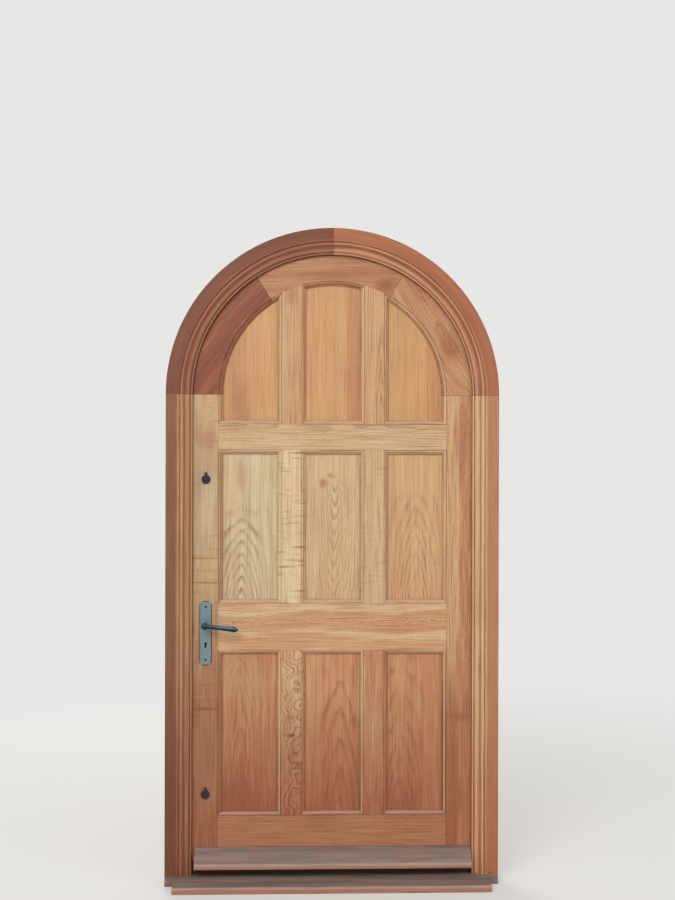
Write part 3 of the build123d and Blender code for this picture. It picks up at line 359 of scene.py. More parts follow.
class Figure:
    """Where the growth rings, streaks and pores of one board come to its faces."""

    def __init__(self, wood, board, grain):
        self.wood, self.shift = wood, board.seed * 7.3
        if board.arc:
            radius, height = arch_radius(wood)
            turn = wood.node("ShaderNodeMath", {"operation": "ARCTAN2"}, {0: wood.x, 1: height})
            self.u, self.v = turn * HEAD_RADIUS, radius - HEAD_RADIUS
            self.into = radius - SIGHT
        else:
            self.u = wood.along(board.axes[0], board.origin)
            self.v = wood.along(board.axes[1], board.origin)
            self.into = abs(wood.x) - SIGHT
        self.w = wood.y - OUTER_FACE
        self.draw_rings(board, grain)
        self.streaks = self.stretched(6.0, 190, 3.0)
        pores = wood.vector(self.u * 42, self.v * 780 + self.shift, self.w * 780)
        self.pores = wood.noise(pores, detail=1.0).smooth(0.54, 0.70) * (self.line * 0.75 + 0.25)
        self.ticks = self.stretched(60, 420, 1.0).smooth(0.60, 0.74)

    def stretched(self, along, across, detail):
        """Noise drawn out along the grain."""
        place = self.wood.vector(self.u * along + self.shift, self.v * across, self.w * across)
        return self.wood.noise(place, detail=detail)

    def wander(self, board):
        """How far the rings stray, across the board and into it."""
        wood = self.wood
        place = wood.vector(self.u * board.curl + self.shift, self.v * 7.5, self.w * 7.5 + board.seed)
        colour = Term(wood, wood.noise(place, detail=2.0, out=None).outputs["Color"])
        drift = wood.node("ShaderNodeSeparateColor", values={0: colour}, out=None)
        return ((Term(wood, drift.outputs[i]) - 0.5) * board.swirl for i in (0, 1))

    def draw_rings(self, board, grain):
        """Rings round the log's middle, cut by the face, as dark lines with a sharp side and a soft one."""
        wood, u = self.wood, self.u
        stray_across, stray_in = self.wander(board)
        self.ripple = self.stretched(9, 34, 2.0)
        across = self.v + stray_across - board.pith[0]
        depth = self.w + stray_in + board.pith[1] + u * board.slope
        radius = (across * across + depth * depth).root()
        uneven = wood.noise(wood.vector(radius * 30, self.shift, board.seed), detail=1.0) - 0.5
        taper = u * board.rise * abs(across).smooth(0.13, 0.0)
        count = (radius + taper + uneven * 0.016) / (grain.ring * board.coarse)
        saw = (count + (self.ripple - 0.5) * 0.9).fract()
        broken = self.stretched(13, 260, 1.0).smooth(0.30, 0.62)
        line = saw.smooth(0.35, 0.86) * saw.smooth(1.0, 0.88) * (broken * 0.65 + 0.35)
        near = abs(across).smooth(0.10, 0.02) * 0.75 + 0.25
        self.line = line * near * abs(u).smooth(board.reach + 0.1, board.reach)
        self.bands = wood.noise(wood.vector(radius * 34 + self.shift, board.seed, u * 0.4), detail=3.0)


def oak(name, board, tones, grain):
    """Oak as it was sawn, with open pores, stains and dark joints, and painted light and shade on its
    mouldings.
    """
    wood = Finish(name)
    figure = Figure(wood, board, grain)
    cloud = wood.noise(wood.place, scale=2.6, detail=3.0)
    # Dark of the pores and joints, also used for the painted shade along the frame's inner edge.
    dirt_and_shade = tuple(channel * 0.55 for channel in tones.grain)
    body = growth_tones(wood, board, tones, figure, cloud)
    body = grain_lines(wood, board, tones, figure, body)
    body = stains(wood, board, tones, figure, body)
    body = wood.mix(figure.pores * 0.5, body, dirt_and_shade)
    if board.kind == "frame":
        body = painted_frame_light(wood, board, tones, figure.into, body, dirt_and_shade)
    elif board.kind == "panel":
        # Painted shadow along the panel's edges, strongest at the top and the left.
        body = wood.mix(panel_edge_shadow(wood, *board.bounds) * 0.6, body, tones.umber)
    else:
        body = painted_leaf_light(wood, tones, figure.w, body)
    for direction, place in board.ends:
        gap = abs(wood.along(direction) - place)
        body = wood.mix(gap.smooth(grain.joint, grain.joint * 0.25) * 0.6, body, dirt_and_shade)
    body = wood.mix(1.0, body, (board.dim, board.dim, board.dim), "MULTIPLY")
    roughness = cloud * 0.16 + figure.pores * 0.12 + 0.42
    wood.set(Base_Color=body, Roughness=roughness, Specular_IOR_Level=0.24)
    wood.bump(0.5 - figure.pores * 0.8 - figure.line * 0.25 + figure.streaks * 0.2, grain.pore_depth)
    return wood.material


def growth_tones(wood, board, tones, figure, cloud):
    """Pale and dark growth, the darker foot, part weathering and part painted shade, and the strips of other
    tones.
    """
    growth = (figure.bands * 1.2 + cloud * 0.6 - 0.40).smooth(0.25, 0.75)
    body = wood.mix(growth, getattr(tones, board.light), getattr(tones, board.deep))
    if board.foot:
        # Darker towards the ground: part weathering, part painted shade.
        weather_and_shade = (wood.z + (cloud - 0.5) * 0.4).smooth(board.foot_height, board.foot_height - 0.60)
        body = wood.mix(weather_and_shade * 0.9, body, getattr(tones, board.foot))
    for start, end, shade, amount in board.strips:
        inside = wood.x.smooth(start - 0.001, start + 0.001) * wood.x.smooth(end + 0.001, end - 0.001)
        body = wood.mix(inside * amount, body, getattr(tones, shade))
    return body


def grain_lines(wood, board, tones, figure, body):
    """Streaks, ring lines, short ticks, and rays where the board was quarter-sawn."""
    body = wood.mix(figure.streaks.smooth(0.42, 0.75) * board.fine, body, tones.grain)
    body = wood.mix(figure.streaks.smooth(0.46, 0.22) * 0.22, body, tones.pale)
    lines = figure.line * (board.line * 0.62) * figure.bands.smooth(0.34, 0.62)
    body = wood.mix(lines, body, tones.grain)
    body = wood.mix(figure.ticks * 0.22, body, tones.russet)
    if board.rays:
        fleck = figure.stretched(90, 9, 3.0).smooth(0.53, 0.70)
        body = wood.mix(fleck * board.rays, body, tones.grain)
    return body


def stains(wood, board, tones, figure, body):
    """Soft-edged marks, drawn out by the grain."""
    for x, z, half_width, half_height, shade, amount in board.marks:
        off_x, off_z = (wood.x - x) / half_width, (wood.z - z) / half_height
        spread = (off_x * off_x + off_z * off_z).root()
        spread = spread + (figure.ripple - 0.5) * 1.5 + (figure.streaks - 0.5) * 1.2
        body = wood.mix(spread.smooth(1.1, 0.2) * amount, body, getattr(tones, shade))
    return body


def painted_frame_light(wood, board, tones, into, body, dirt_and_shade):
    """Painted highlights on the crests of the frame's moulding, painted shade in its grooves and along its
    inner edge, and painted shadow on its outer band.
    """
    outside = wood.y.smooth(OUTER_FACE, OUTER_FACE - 0.003)
    grooves = sum((abs(into - middle).smooth(half, half * 0.3) for middle, half in FRAME_GROOVES), 0)
    crests = sum((abs(into - middle).smooth(half, half * 0.2) for middle, half in FRAME_CRESTS), 0)
    # Painted highlights on the moulding's crests.
    body = wood.mix((crests * outside * board.crest).limit(), body, tones.cream)
    # Painted shade in the moulding's grooves.
    body = wood.mix((grooves * outside * 0.45).limit(), body, tones.umber)
    # Painted shadow from the wall beside the frame, on the outer band.
    if board.wall_shadow_tone:
        band = into.smooth(0.050, 0.060) * outside * 0.6
        body = wood.mix(band, body, getattr(tones, board.wall_shadow_tone))
    # Painted shade: a dark line along the frame's inner edge, where the stop meets the leaf.
    sight_edge_shade = abs(into).smooth(0.0012, 0.0004) * wood.y.smooth(0.003, 0.008)
    return wood.mix(sight_edge_shade * 0.85, body, dirt_and_shade)


def painted_leaf_light(wood, tones, w, body):
    """Painted light on the lips of the panel openings: painted shade in their quirks and corners, on the lips
    that face right and under the weatherboard, and painted highlights on the lips that face left and on the
    upward ledges.
    """
    # Painted shade in the quirks and in the corners where the lips meet the panels.
    corner = abs(w - LIP_CORNER).smooth(0.0022, 0.0006)
    quirk = abs(w - LIP_QUIRK).smooth(0.0013, 0.0005) * 0.8 + corner
    # Painted highlight on the upward ledges of the lips.
    ledge = wood.upward.smooth(0.25, 0.6) * abs(w - LIP_MIDDLE).smooth(0.0080, 0.0060)
    lip = w.smooth(0.0022, 0.0040) * w.smooth(0.0142, 0.0136)
    # Painted highlight along the arris of the lips that face left.
    lit = w.smooth(-0.001, 0.0005) * w.smooth(0.0060, 0.0030)
    lit = lit * (-0.05 - wood.sideward).smooth(0.0, 0.25)
    # Painted shade on the lips that face right, away from the light.
    body = wood.mix(lip * wood.sideward.smooth(-0.1, 0.4) * 0.6, body, tones.copper)
    body = wood.mix(lit * 0.55, body, tones.cream)
    # Painted highlight on the upward ledges.
    body = wood.mix(ledge * 0.75, body, tones.arris)
    # Painted shade in the quirks and corners.
    body = wood.mix((quirk * 0.55).limit() * (1 - ledge) * (1 - lit), body, tones.umber)
    # Painted shade: the leaf's face below the weatherboard is painted near black.
    foot = wood.z.smooth(*SHADED_FOOT) * wood.y.smooth(0.030, 0.024) * 0.9
    return wood.mix(foot, body, (0.01, 0.005, 0.003))


def panel_edge_shadow(wood, low_x, high_x, low_z, high_z):
    """Painted shadow where a panel meets its mouldings: 1 along the edge, stronger along the top and the
    left.
    """
    left = (wood.x - low_x).smooth(0.0065, 0.0005)
    right = (high_x - wood.x).smooth(0.0030, 0.0005)
    foot = (wood.z - low_z).smooth(0.0030, 0.0005)
    if high_z:
        head = (high_z - wood.z).smooth(0.0080, 0.0005)
    else:
        radius, height = arch_radius(wood)
        head = (PANEL_ARC - radius).smooth(0.0070, 0.0005) * height.smooth(0.0, 0.001)
    return (left + right * 0.8 + foot * 0.4 + head).limit()


SPRING_JOINT = ((0, 0, 1), SPRING_HEIGHT)
RAIL_ENDS = (((1, 0, 0), -STILE_EDGE), ((1, 0, 0), STILE_EDGE))


def rail_joints(*heights):
    return tuple(((0, 0, 1), height) for height in heights)


def radial(angle):
    """Joint on a radius of the arch, at an angle from the vertical, as a direction and a distance."""
    turn = math.radians(angle)
    direction = (math.cos(turn), 0, -math.sin(turn))
    return direction, -math.sin(turn) * SPRING_HEIGHT


CROWN_JOINT = ((1, 0, 0), 0.0)
FRAME_BOARDS = {
    # Its darker tones are partly the board's own and partly painted shade at the top left of the arch.
    "frame_head_left": Board(
        "russet", "umber", LEVEL, (0, 0, 0),
        pith=(0.3, 0.02), swirl=0.03, line=0.5, seed=1.2, dim=0.86, foot=None, wall_shadow_tone="shade",
        crest=0.2, arc=True,
        ends=(CROWN_JOINT, SPRING_JOINT),
    ),
    "frame_head_right": Board(
        "copper", "russet", LEVEL, (0, 0, 0),
        pith=(0.28, 0.04), swirl=0.03, line=0.5, seed=2.6, dim=0.93, foot=None, wall_shadow_tone="russet",
        crest=0.34, arc=True,
        ends=(CROWN_JOINT, SPRING_JOINT),
    ),
    # Its low dim is partly the board's own tone and partly painted shade from the wall beside the frame.
    "lock_jamb": Board(
        "tan", "copper", UPRIGHT, (-0.55, 0, 0.9),
        pith=(-0.35, 0.05), line=0.6, seed=3.1, dim=0.76, foot_height=0.9, wall_shadow_tone="shade", crest=0.22,
        ends=(SPRING_JOINT,),
    ),
    "hinge_jamb": Board(
        "honey", "tan", UPRIGHT, (0.55, 0, 0.9),
        pith=(0.33, 0.05), line=0.5, seed=4.7, foot="copper", wall_shadow_tone="russet",
        ends=(SPRING_JOINT,),
        marks=((0.57, 0.032, 0.014, 0.022, "grain", 0.8),),
    ),
}
STILE_BOARDS = {
    # Its dark foot reaches higher than on the other boards, partly as painted shade from the wall beside the
    # frame.
    "lock_stile": Board(
        "dusty", "honey", UPRIGHT, (-0.46, 0, 1.0),
        pith=(-0.3, 0.04), slope=0.01, swirl=0.05, line=0.3, rays=0.2, seed=5.3, dim=0.93,
        foot_height=1.15,
        ends=(SPRING_JOINT,),
        marks=(
            (-0.462, 1.6, 0.05, 0.05, "copper", 0.6),
            (-0.46, 1.175, 0.09, 0.006, "russet", 0.6),
            (-0.45, 1.087, 0.09, 0.005, "russet", 0.6),
            (-0.46, 1.13, 0.09, 0.004, "copper", 0.6),
            (-0.46, 0.632, 0.09, 0.007, "umber", 0.9),
            (-0.45, 0.72, 0.06, 0.005, "russet", 0.7),
            (-0.46, 0.675, 0.08, 0.004, "copper", 0.6),
            (-0.47, 0.59, 0.07, 0.005, "russet", 0.5),
            (-0.46, 1.43, 0.09, 0.34, "weathered", 0.26),
            (-0.46, 0.5, 0.09, 0.32, "dusty", 0.15),
            (-0.45, 1.35, 0.04, 0.16, "pale", 0.35),
        ),
    ),
    "hinge_stile": Board(
        "honey", "tan", UPRIGHT, (0.46, 0, 1.0),
        pith=(0.05, 0.02), rise=0.1, swirl=0.05, curl=8, line=1.0, fine=0.55, seed=6.1, foot_height=1.0,
        ends=(SPRING_JOINT,),
        strips=((0.458, 0.53, "copper", 0.75),),
        marks=(
            (0.465, 1.6, 0.03, 0.16, "russet", 0.45),
            (0.46, 0.6, 0.05, 0.022, "russet", 0.6),
            (0.445, 0.3, 0.06, 0.1, "russet", 0.5),
        ),
    ),
    "top_muntin_left": Board(
        "tan", "honey", UPRIGHT, (-0.15, 0, 1.9),
        pith=(0.09, 0.05), slope=0.02, swirl=0.05, seed=7.4, dim=0.92, foot=None,
        ends=rail_joints(UPPER_RAIL_TOP),
        marks=((-0.15, 2.12, 0.03, 0.05, "russet", 0.4),),
    ),
    "top_muntin_right": Board(
        "honey", "tan", UPRIGHT, (0.15, 0, 1.9),
        pith=(0.03, 0.035), slope=0.05, swirl=0.06, line=0.7, seed=8.8, dim=0.97, foot=None,
        ends=rail_joints(UPPER_RAIL_TOP),
    ),
    "centre_muntin_left": Board(
        "pale", "cream", UPRIGHT, (-0.15, 0, 1.3),
        pith=(-0.4, 0.02), line=0.1, rays=0.6, seed=9.5, foot=None,
        ends=rail_joints(LOCK_RAIL_TOP, UPPER_RAIL_FOOT),
    ),
    "centre_muntin_right": Board(
        "honey", "cream", UPRIGHT, (0.15, 0, 1.3),
        pith=(0.2, 0.04), slope=0.02, swirl=0.03, line=0.5, rays=0.2, seed=10.2, dim=0.93,
        foot=None,
        ends=rail_joints(LOCK_RAIL_TOP, UPPER_RAIL_FOOT),
    ),
    "bottom_muntin_left": Board(
        "cream", "tan", UPRIGHT, (-0.15, 0, 0.5),
        pith=(0.03, 0.03), slope=0.05, coarse=1.7, swirl=0.09, curl=13, line=1.5, fine=0.5,
        seed=11.9,
        ends=rail_joints(BOTTOM_RAIL_TOP, LOCK_RAIL_FOOT),
        marks=(
            (-0.151, 0.535, 0.022, 0.012, "grain", 0.8),
            (-0.15, 0.6, 0.03, 0.012, "russet", 0.6),
            (-0.145, 0.46, 0.03, 0.05, "russet", 0.5),
        ),
    ),
    "bottom_muntin_right": Board(
        "honey", "copper", UPRIGHT, (0.15, 0, 0.5),
        pith=(0.1, 0.04), slope=0.04, swirl=0.07, curl=6, line=0.7, seed=12.5, dim=0.97,
        ends=rail_joints(BOTTOM_RAIL_TOP, LOCK_RAIL_FOOT),
        marks=((0.15, 0.54, 0.06, 0.36, "cream", 0.16),),
    ),
}
RAIL_BOARDS = {
    "head_rail_left": Board(
        "umber", "russet", slanting(50), (-0.4, 0, 2.0),
        pith=(0.05, 0.05), slope=0.03, coarse=1.5, swirl=0.07, curl=4, line=0.9, fine=0.24,
        seed=13.3, dim=0.88, foot=None,
        ends=(SPRING_JOINT, radial(-33)),
    ),
    "head_rail_crown": Board(
        "copper", "tan", LEVEL, (0, 0, 2.2),
        pith=(0.1, 0.04), slope=0.02, swirl=0.06, curl=4, line=0.5, seed=14.1, dim=0.77, foot=None,
        ends=(radial(-33), radial(30)),
        marks=(
            (0.19, 2.165, 0.05, 0.025, "russet", 0.7),
            (0.0, 2.2, 0.15, 0.02, "russet", 0.4),
        ),
    ),
    "head_rail_right": Board(
        "tan", "copper", slanting(-58), (0.4, 0, 2.0),
        pith=(0.0, 0.02), rise=0.12, swirl=0.09, curl=7, line=0.9, seed=15.7, dim=0.88, foot=None,
        ends=(SPRING_JOINT, radial(30)),
        marks=((0.42, 1.93, 0.05, 0.07, "russet", 0.5),),
    ),
    "upper_rail": Board(
        "cream", "honey", LEVEL, (0, 0, 1.61),
        pith=(0.05, 0.05), slope=0.02, swirl=0.05, curl=3, line=0.6, seed=16.4, dim=0.94,
        foot=None,
        ends=RAIL_ENDS,
    ),
    "lock_rail": Board(
        "cream", "tan", LEVEL, (-0.2, 0, 0.93),
        pith=(0.015, 0.008), rise=-0.1, swirl=0.06, curl=4, line=0.7, seed=17.8, foot=None,
        ends=RAIL_ENDS,
        marks=(
            (0.27, 0.93, 0.12, 0.02, "copper", 0.5),
            (-0.15, 0.9, 0.2, 0.012, "copper", 0.4),
        ),
    ),
    "bottom_rail": Board(
        "copper", "tan", LEVEL, (0, 0, 0.16),
        pith=(0.12, 0.05), swirl=0.03, curl=3, line=0.6, seed=18.6, dim=0.82, foot="copper",
        ends=RAIL_ENDS,
    ),
}
PANEL_BOARDS = {
    "top_panel_left": Board(
        "gold", "tan", UPRIGHT, (-0.3, 0, 1.85),
        pith=(-0.5, 0.05), swirl=0.05, line=0.16, fine=0.24, seed=19.4, dim=0.89, foot=None,
        strips=((-0.4, -0.315, "copper", 0.35),),
        marks=((-0.33, 1.7, 0.05, 0.12, "russet", 0.3),),
    ),
    "top_panel_middle": Board(
        "gold", "tan", UPRIGHT, (0, 0, 1.85),
        pith=(-0.6, 0.05), swirl=0.05, line=0.14, fine=0.24, seed=20.9, dim=0.89, foot=None,
        strips=((0.05, 0.11, "copper", 0.6),),
    ),
    "top_panel_right": Board(
        "gold", "tan", UPRIGHT, (0.3, 0, 1.85),
        pith=(0.6, 0.05), swirl=0.05, line=0.16, fine=0.24, seed=21.5, dim=0.87, foot=None,
        strips=((0.34, 0.41, "copper", 0.5),),
    ),
    "centre_panel_left": Board(
        "cream", "pale", UPRIGHT, (-0.332, 0, 1.03),
        pith=(0.0, 0.004), rise=0.3, reach=0.26, coarse=2.0, swirl=0.012, line=1.1, fine=0.34,
        seed=22.3, dim=0.86, foot=None,
        strips=((-0.41, -0.375, "honey", 0.5),),
        marks=((-0.33, 1.48, 0.02, 0.08, "russet", 0.35),),
    ),
    "centre_panel_middle": Board(
        "honey", "cream", UPRIGHT, (0.0, 0, 1.1),
        pith=(0.005, 0.006), rise=-0.22, reach=0.3, coarse=1.8, swirl=0.016, line=0.95, fine=0.34,
        seed=23.7, dim=0.95, foot=None,
        marks=(
            (-0.033, 1.447, 0.022, 0.022, "russet", 0.6),
            (-0.01, 1.475, 0.012, 0.012, "russet", 0.5),
        ),
    ),
    "centre_panel_right": Board(
        "honey", "tan", UPRIGHT, (0.305, 0, 1.05),
        pith=(0.0, 0.006), rise=0.2, reach=0.3, coarse=1.8, line=0.9, fine=0.34, seed=24.8,
        foot=None,
        strips=((0.19, 0.222, "copper", 0.3),),
    ),
    "bottom_panel_left": Board(
        "tan", "copper", UPRIGHT, (-0.33, 0, 0.3),
        pith=(0.0, 0.008), rise=0.14, coarse=1.7, swirl=0.055, curl=3, line=0.6, fine=0.34,
        seed=25.6, dim=0.93,
        marks=(
            (-0.345, 0.31, 0.09, 0.08, "russet", 0.75),
            (-0.33, 0.74, 0.12, 0.12, "dusty", 0.3),
        ),
    ),
    "bottom_panel_middle": Board(
        "tan", "copper", UPRIGHT, (0.03, 0, 0.26),
        pith=(0.0, 0.008), rise=0.16, reach=0.45, coarse=2.4, line=1.0, fine=0.34, seed=26.2,
    ),
    "bottom_panel_right": Board(
        "tan", "copper", UPRIGHT, (0.25, 0, 0.3),
        pith=(0.0, 0.008), rise=0.16, coarse=2.0, swirl=0.03, curl=3, line=0.9, fine=0.34,
        seed=27.9, dim=0.94,
        strips=((0.33, 0.41, "copper", 0.5),),
    ),
}
for board in FRAME_BOARDS.values():
    board.kind = "frame"
PANEL_SIDE = MUNTIN_MIDDLE + MUNTIN_HALF + LIP      # visible edges of the side and the middle panels
PANEL_HALF = MUNTIN_MIDDLE - MUNTIN_HALF - LIP
COLUMNS = {
    "left": (-PANEL_ARC, -PANEL_SIDE),
    "middle": (-PANEL_HALF, PANEL_HALF),
    "right": (PANEL_SIDE, PANEL_ARC),
}
ROWS = {
    "bottom": (BOTTOM_RAIL_TOP + LIP, LOCK_RAIL_FOOT - LIP),
    "centre": (LOCK_RAIL_TOP + LIP, UPPER_RAIL_FOOT - LIP),
    "top": (UPPER_RAIL_TOP + LIP, None),
}
for node, board in PANEL_BOARDS.items():
    row, _, column = node.split("_")
    board.kind, board.bounds = "panel", (*COLUMNS[column], *ROWS[row])


def weathered_oak(name, tones, grain, arris, seed):
    """Greyed oak with level grain and a pale line along its front arris, part wear and part painted
    highlight.
    """
    wood = Finish(name)
    arris_y, arris_z = arris
    wander = wood.noise(wood.vector(wood.x * 2.2 + seed, wood.y * 10, wood.z * 10), detail=2.0)
    rings = wood.vector(wood.x * 2.5 + seed, wood.y * 60, wood.z * 60 + wander * 2.5)
    rings = wood.noise(rings, detail=3.0)
    checks = wood.noise(wood.vector(wood.x * 6, wood.y * 260, wood.z * 260 + seed), detail=2.0)
    checks = checks.smooth(0.60, 0.72)
    cloud = wood.noise(wood.vector(wood.x * 11 + seed, wood.y * 30, wood.z * 30), detail=4.0)
    body = wood.mix(rings.smooth(0.3, 0.7), tones.weathered, tuple(c * 0.62 for c in tones.weathered))
    body = wood.mix(cloud.smooth(0.45, 0.70) * 0.35, body, tones.russet)
    front = wood.y.smooth(arris_y + 0.006, arris_y) * wood.z.smooth(arris_z, arris_z - 0.004)
    body = wood.mix(front * 0.55, body, tones.copper)
    y_off, z_off = wood.y - arris_y, wood.z - arris_z
    distance = (y_off * y_off + z_off * z_off).root()
    # Pale line along the arris: part wear, part painted highlight.
    wear_and_sheen = distance.smooth(0.0070, 0.0025) * (cloud * 0.8 + 0.10)
    body = wood.mix(wear_and_sheen, body, tones.arris)
    body = wood.mix(checks * 0.5, body, tuple(c * 0.35 for c in tones.grain))
    wood.set(Base_Color=body, Roughness=cloud * 0.2 + 0.5, Specular_IOR_Level=0.35)
    wood.bump(0.5 - checks * 0.8 + rings * 0.4, grain.pore_depth * 1.4)
    return wood.material


def metal(name, shade, metallic, roughness, mottle=0.25, edge=None, edge_mask=None, brushed=False, wear_and_sheen=None):
    """Metal with faint mottling, an edge of another tone, and on a lever a painted highlight along its upper
    side and painted shade under it.
    """
    work = Finish(name)
    cloud = work.noise(work.place, scale=130.0, detail=4.0)
    body = work.mix(cloud.smooth(0.35, 0.75) * mottle, shade, tuple(c * 0.45 for c in shade))
    if edge_mask:
        body = work.mix(edge_mask(work), body, edge)
    if wear_and_sheen:
        # Painted highlight along the lever's upper side, brighter towards its tip.
        toward_tip = work.x.smooth(KEY_X + 0.015, KEY_X + 0.080) * 0.75 + 0.25
        body = work.mix(work.upward.smooth(-0.10, 0.70) * (cloud * 0.6 + 0.35) * toward_tip, body, wear_and_sheen)
        # Painted shade on the lever's underside.
        body = work.mix(work.upward.smooth(-0.2, -0.8) * 0.6, body, tuple(c * 0.3 for c in shade))
    if brushed:
        lines = work.noise(work.vector(work.x * 900, work.y * 900, work.z * 25), detail=2.0)
        rough = lines * 0.2 + (roughness - 0.1)
    else:
        rough = cloud * 0.22 + (roughness - 0.11)
    work.set(Base_Color=body, Metallic=metallic, Roughness=rough)
    work.bump(cloud, 0.00012)
    return work.material


class DOOR_OT_frame_oak(bpy.types.Operator):
    """Gives each board of the frame its oak"""

    bl_idname = "door.frame_oak"
    bl_label = "Frame Oak"

    def execute(self, context):
        finish_boards(context.scene, FRAME_BOARDS)
        return {"FINISHED"}


class DOOR_OT_stile_oak(bpy.types.Operator):
    """Gives the stiles and muntins their oak, with upright grain"""

    bl_idname = "door.stile_oak"
    bl_label = "Stiles and Muntins"

    def execute(self, context):
        finish_boards(context.scene, STILE_BOARDS)
        return {"FINISHED"}


class DOOR_OT_rail_oak(bpy.types.Operator):
    """Gives the straight rails and the curved head rail their oak"""

    bl_idname = "door.rail_oak"
    bl_label = "Rails"

    def execute(self, context):
        finish_boards(context.scene, RAIL_BOARDS)
        return {"FINISHED"}


class DOOR_OT_panel_oak(bpy.types.Operator):
    """Gives the nine flat panels their oak"""

    bl_idname = "door.panel_oak"
    bl_label = "Panels"

    def execute(self, context):
        finish_boards(context.scene, PANEL_BOARDS)
        return {"FINISHED"}


def finish_boards(scene, boards):
    for node, board in boards.items():
        paint(oak("oak_" + node, board, scene.door_oak, scene.door_grain), node)


class DOOR_OT_weathered_oak(bpy.types.Operator):
    """Gives the weatherboard and the sill their greyed oak"""

    bl_idname = "door.weathered_oak"
    bl_label = "Weatherboard and Sill"

    def execute(self, context):
        tones, grain = context.scene.door_oak, context.scene.door_grain
        paint(weathered_oak("oak_weatherboard", tones, grain, WEATHERBOARD_ARRIS, 3.0), "weatherboard")
        paint(weathered_oak("oak_sill", tones, grain, SILL_ARRIS, 8.0), "sill")
        return {"FINISHED"}


class DOOR_OT_handles(bpy.types.Operator):
    """Finishes the handle plates, levers, keyhole covers and escutcheons"""

    bl_idname = "door.handles"
    bl_label = "Handles and Covers"

    def execute(self, context):
        shades = context.scene.door_metal

        def rim(work):
            side = abs(work.x - KEY_X).smooth(PLATE_HALF_WIDTH - 0.0034, PLATE_HALF_WIDTH - 0.0014)
            end = abs(work.z - PLATE_MIDDLE).smooth(PLATE_HALF_HEIGHT - 0.0045, PLATE_HALF_HEIGHT - 0.002)
            return (side + end).limit()

        pewter = metal("pewter_plate", shades.pewter, 0.35, 0.46, 0.3, shades.plate_edge, rim)
        # The levers get a painted highlight on top and painted shade underneath.
        lever = metal("iron_lever", shades.iron, 0.55, 0.25, 0.4, wear_and_sheen=shades.lever_highlight)
        cover = metal("iron_cover", shades.cover, 0.6, 0.28, 0.5)
        paint(pewter, "outside_handle_plate", "inside_handle_plate")
        paint(lever, "outside_lever", "inside_lever")
        paint(cover, "upper_keyhole_cover", "lower_keyhole_cover")
        paint(cover, "upper_escutcheon", "lower_escutcheon", "inner_escutcheons")
        return {"FINISHED"}


def pick(piece, wanted):
    """In edit mode, selects only the faces that pass a test of their middle and normal."""
    mesh = bmesh.from_edit_mesh(piece.data)
    for face in mesh.faces:
        face.select_set(wanted(face.calc_center_median(), face.normal))
    mesh.select_flush(False)
    bmesh.update_edit_mesh(piece.data)


def draw_down(depth):
    """Extrudes the selected faces downwards."""
    move = {"value": (0, 0, -depth), "orient_type": "GLOBAL"}
    bpy.ops.mesh.extrude_region_move(TRANSFORM_OT_translate=move)


def narrow(factor):
    """Draws the selected faces in towards the upright axis."""
    bpy.ops.transform.resize(value=(factor, factor, 1), orient_type="GLOBAL", center_override=(0, 0, 0))


def face_outwards(piece):
    pick(piece, lambda middle, normal: True)
    bpy.ops.mesh.normals_make_consistent(inside=False)


def copy_of(pattern):
    """A copy with its own mesh, selected and active."""
    bpy.ops.object.select_all(action="DESELECT")
    pattern.select_set(True)
    bpy.context.view_layer.objects.active = pattern
    bpy.ops.object.duplicate(linked=False)
    return bpy.context.object


def model_screw():
    """One slotted countersunk screw, its head's top at the origin and its shank down."""
    bpy.ops.object.select_all(action="DESELECT")
    bpy.ops.mesh.primitive_cylinder_add(
        vertices=28, radius=SCREW_HEAD, depth=SCREW_DISC, location=(0, 0, -SCREW_DISC / 2)
    )
    screw = bpy.context.object
    bpy.ops.object.transform_apply(location=True)
    bpy.ops.object.mode_set(mode="EDIT")
    bpy.ops.mesh.select_mode(type="FACE")
    pick(screw, lambda middle, normal: normal.z < -0.9)
    steps = (HEAD_DEPTH, SHANK_LENGTH, POINT_LENGTH)
    for step, factor in zip(steps, (SCREW_SHANK / SCREW_HEAD, 1.0, POINT_SHARE)):
        draw_down(step)
        narrow(factor)
    for side in (-SLOT_HALF_WIDTH, SLOT_HALF_WIDTH):
        pick(screw, lambda middle, normal: normal.z > 0.9)
        bpy.ops.mesh.bisect(plane_co=(side, 0, 0), plane_no=(1, 0, 0))
    pick(screw, lambda middle, normal: normal.z > 0.9 and abs(middle.x) < SLOT_HALF_WIDTH)
    draw_down(SLOT_DEPTH)
    face_outwards(screw)
    bpy.ops.object.mode_set(mode="OBJECT")
    return screw


def set_screws(name, places, body, node, material):
    """Copies of one screw, turned into their holes and joined."""
    pattern = model_screw()
    copies = []
    for index, (place, turn) in enumerate(places):
        copy = copy_of(pattern)
        copy.rotation_euler = (0, 0, index * SLOT_TURN)
        bpy.ops.object.transform_apply(rotation=True)
        copy.rotation_euler = turn
        copy.location = place
        bpy.ops.object.transform_apply(location=True, rotation=True)
        copies.append(copy)
    bpy.data.objects.remove(pattern)
    bpy.ops.object.select_all(action="DESELECT")
    for copy in copies:
        copy.select_set(True)
    bpy.context.view_layer.objects.active = copies[0]
    bpy.ops.object.join()
    screws = bpy.context.object
    screws.name = name
    screws.data.materials.append(material)
    bpy.ops.object.shade_smooth_by_angle(angle=SHARP)
    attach(screws, body)
    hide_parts(node)


QUARTER = math.pi / 2
TOWARDS = {"+x": (0, -QUARTER, 0), "-x": (0, QUARTER, 0), "+y": (QUARTER, 0, 0), "-y": (-QUARTER, 0, 0)}


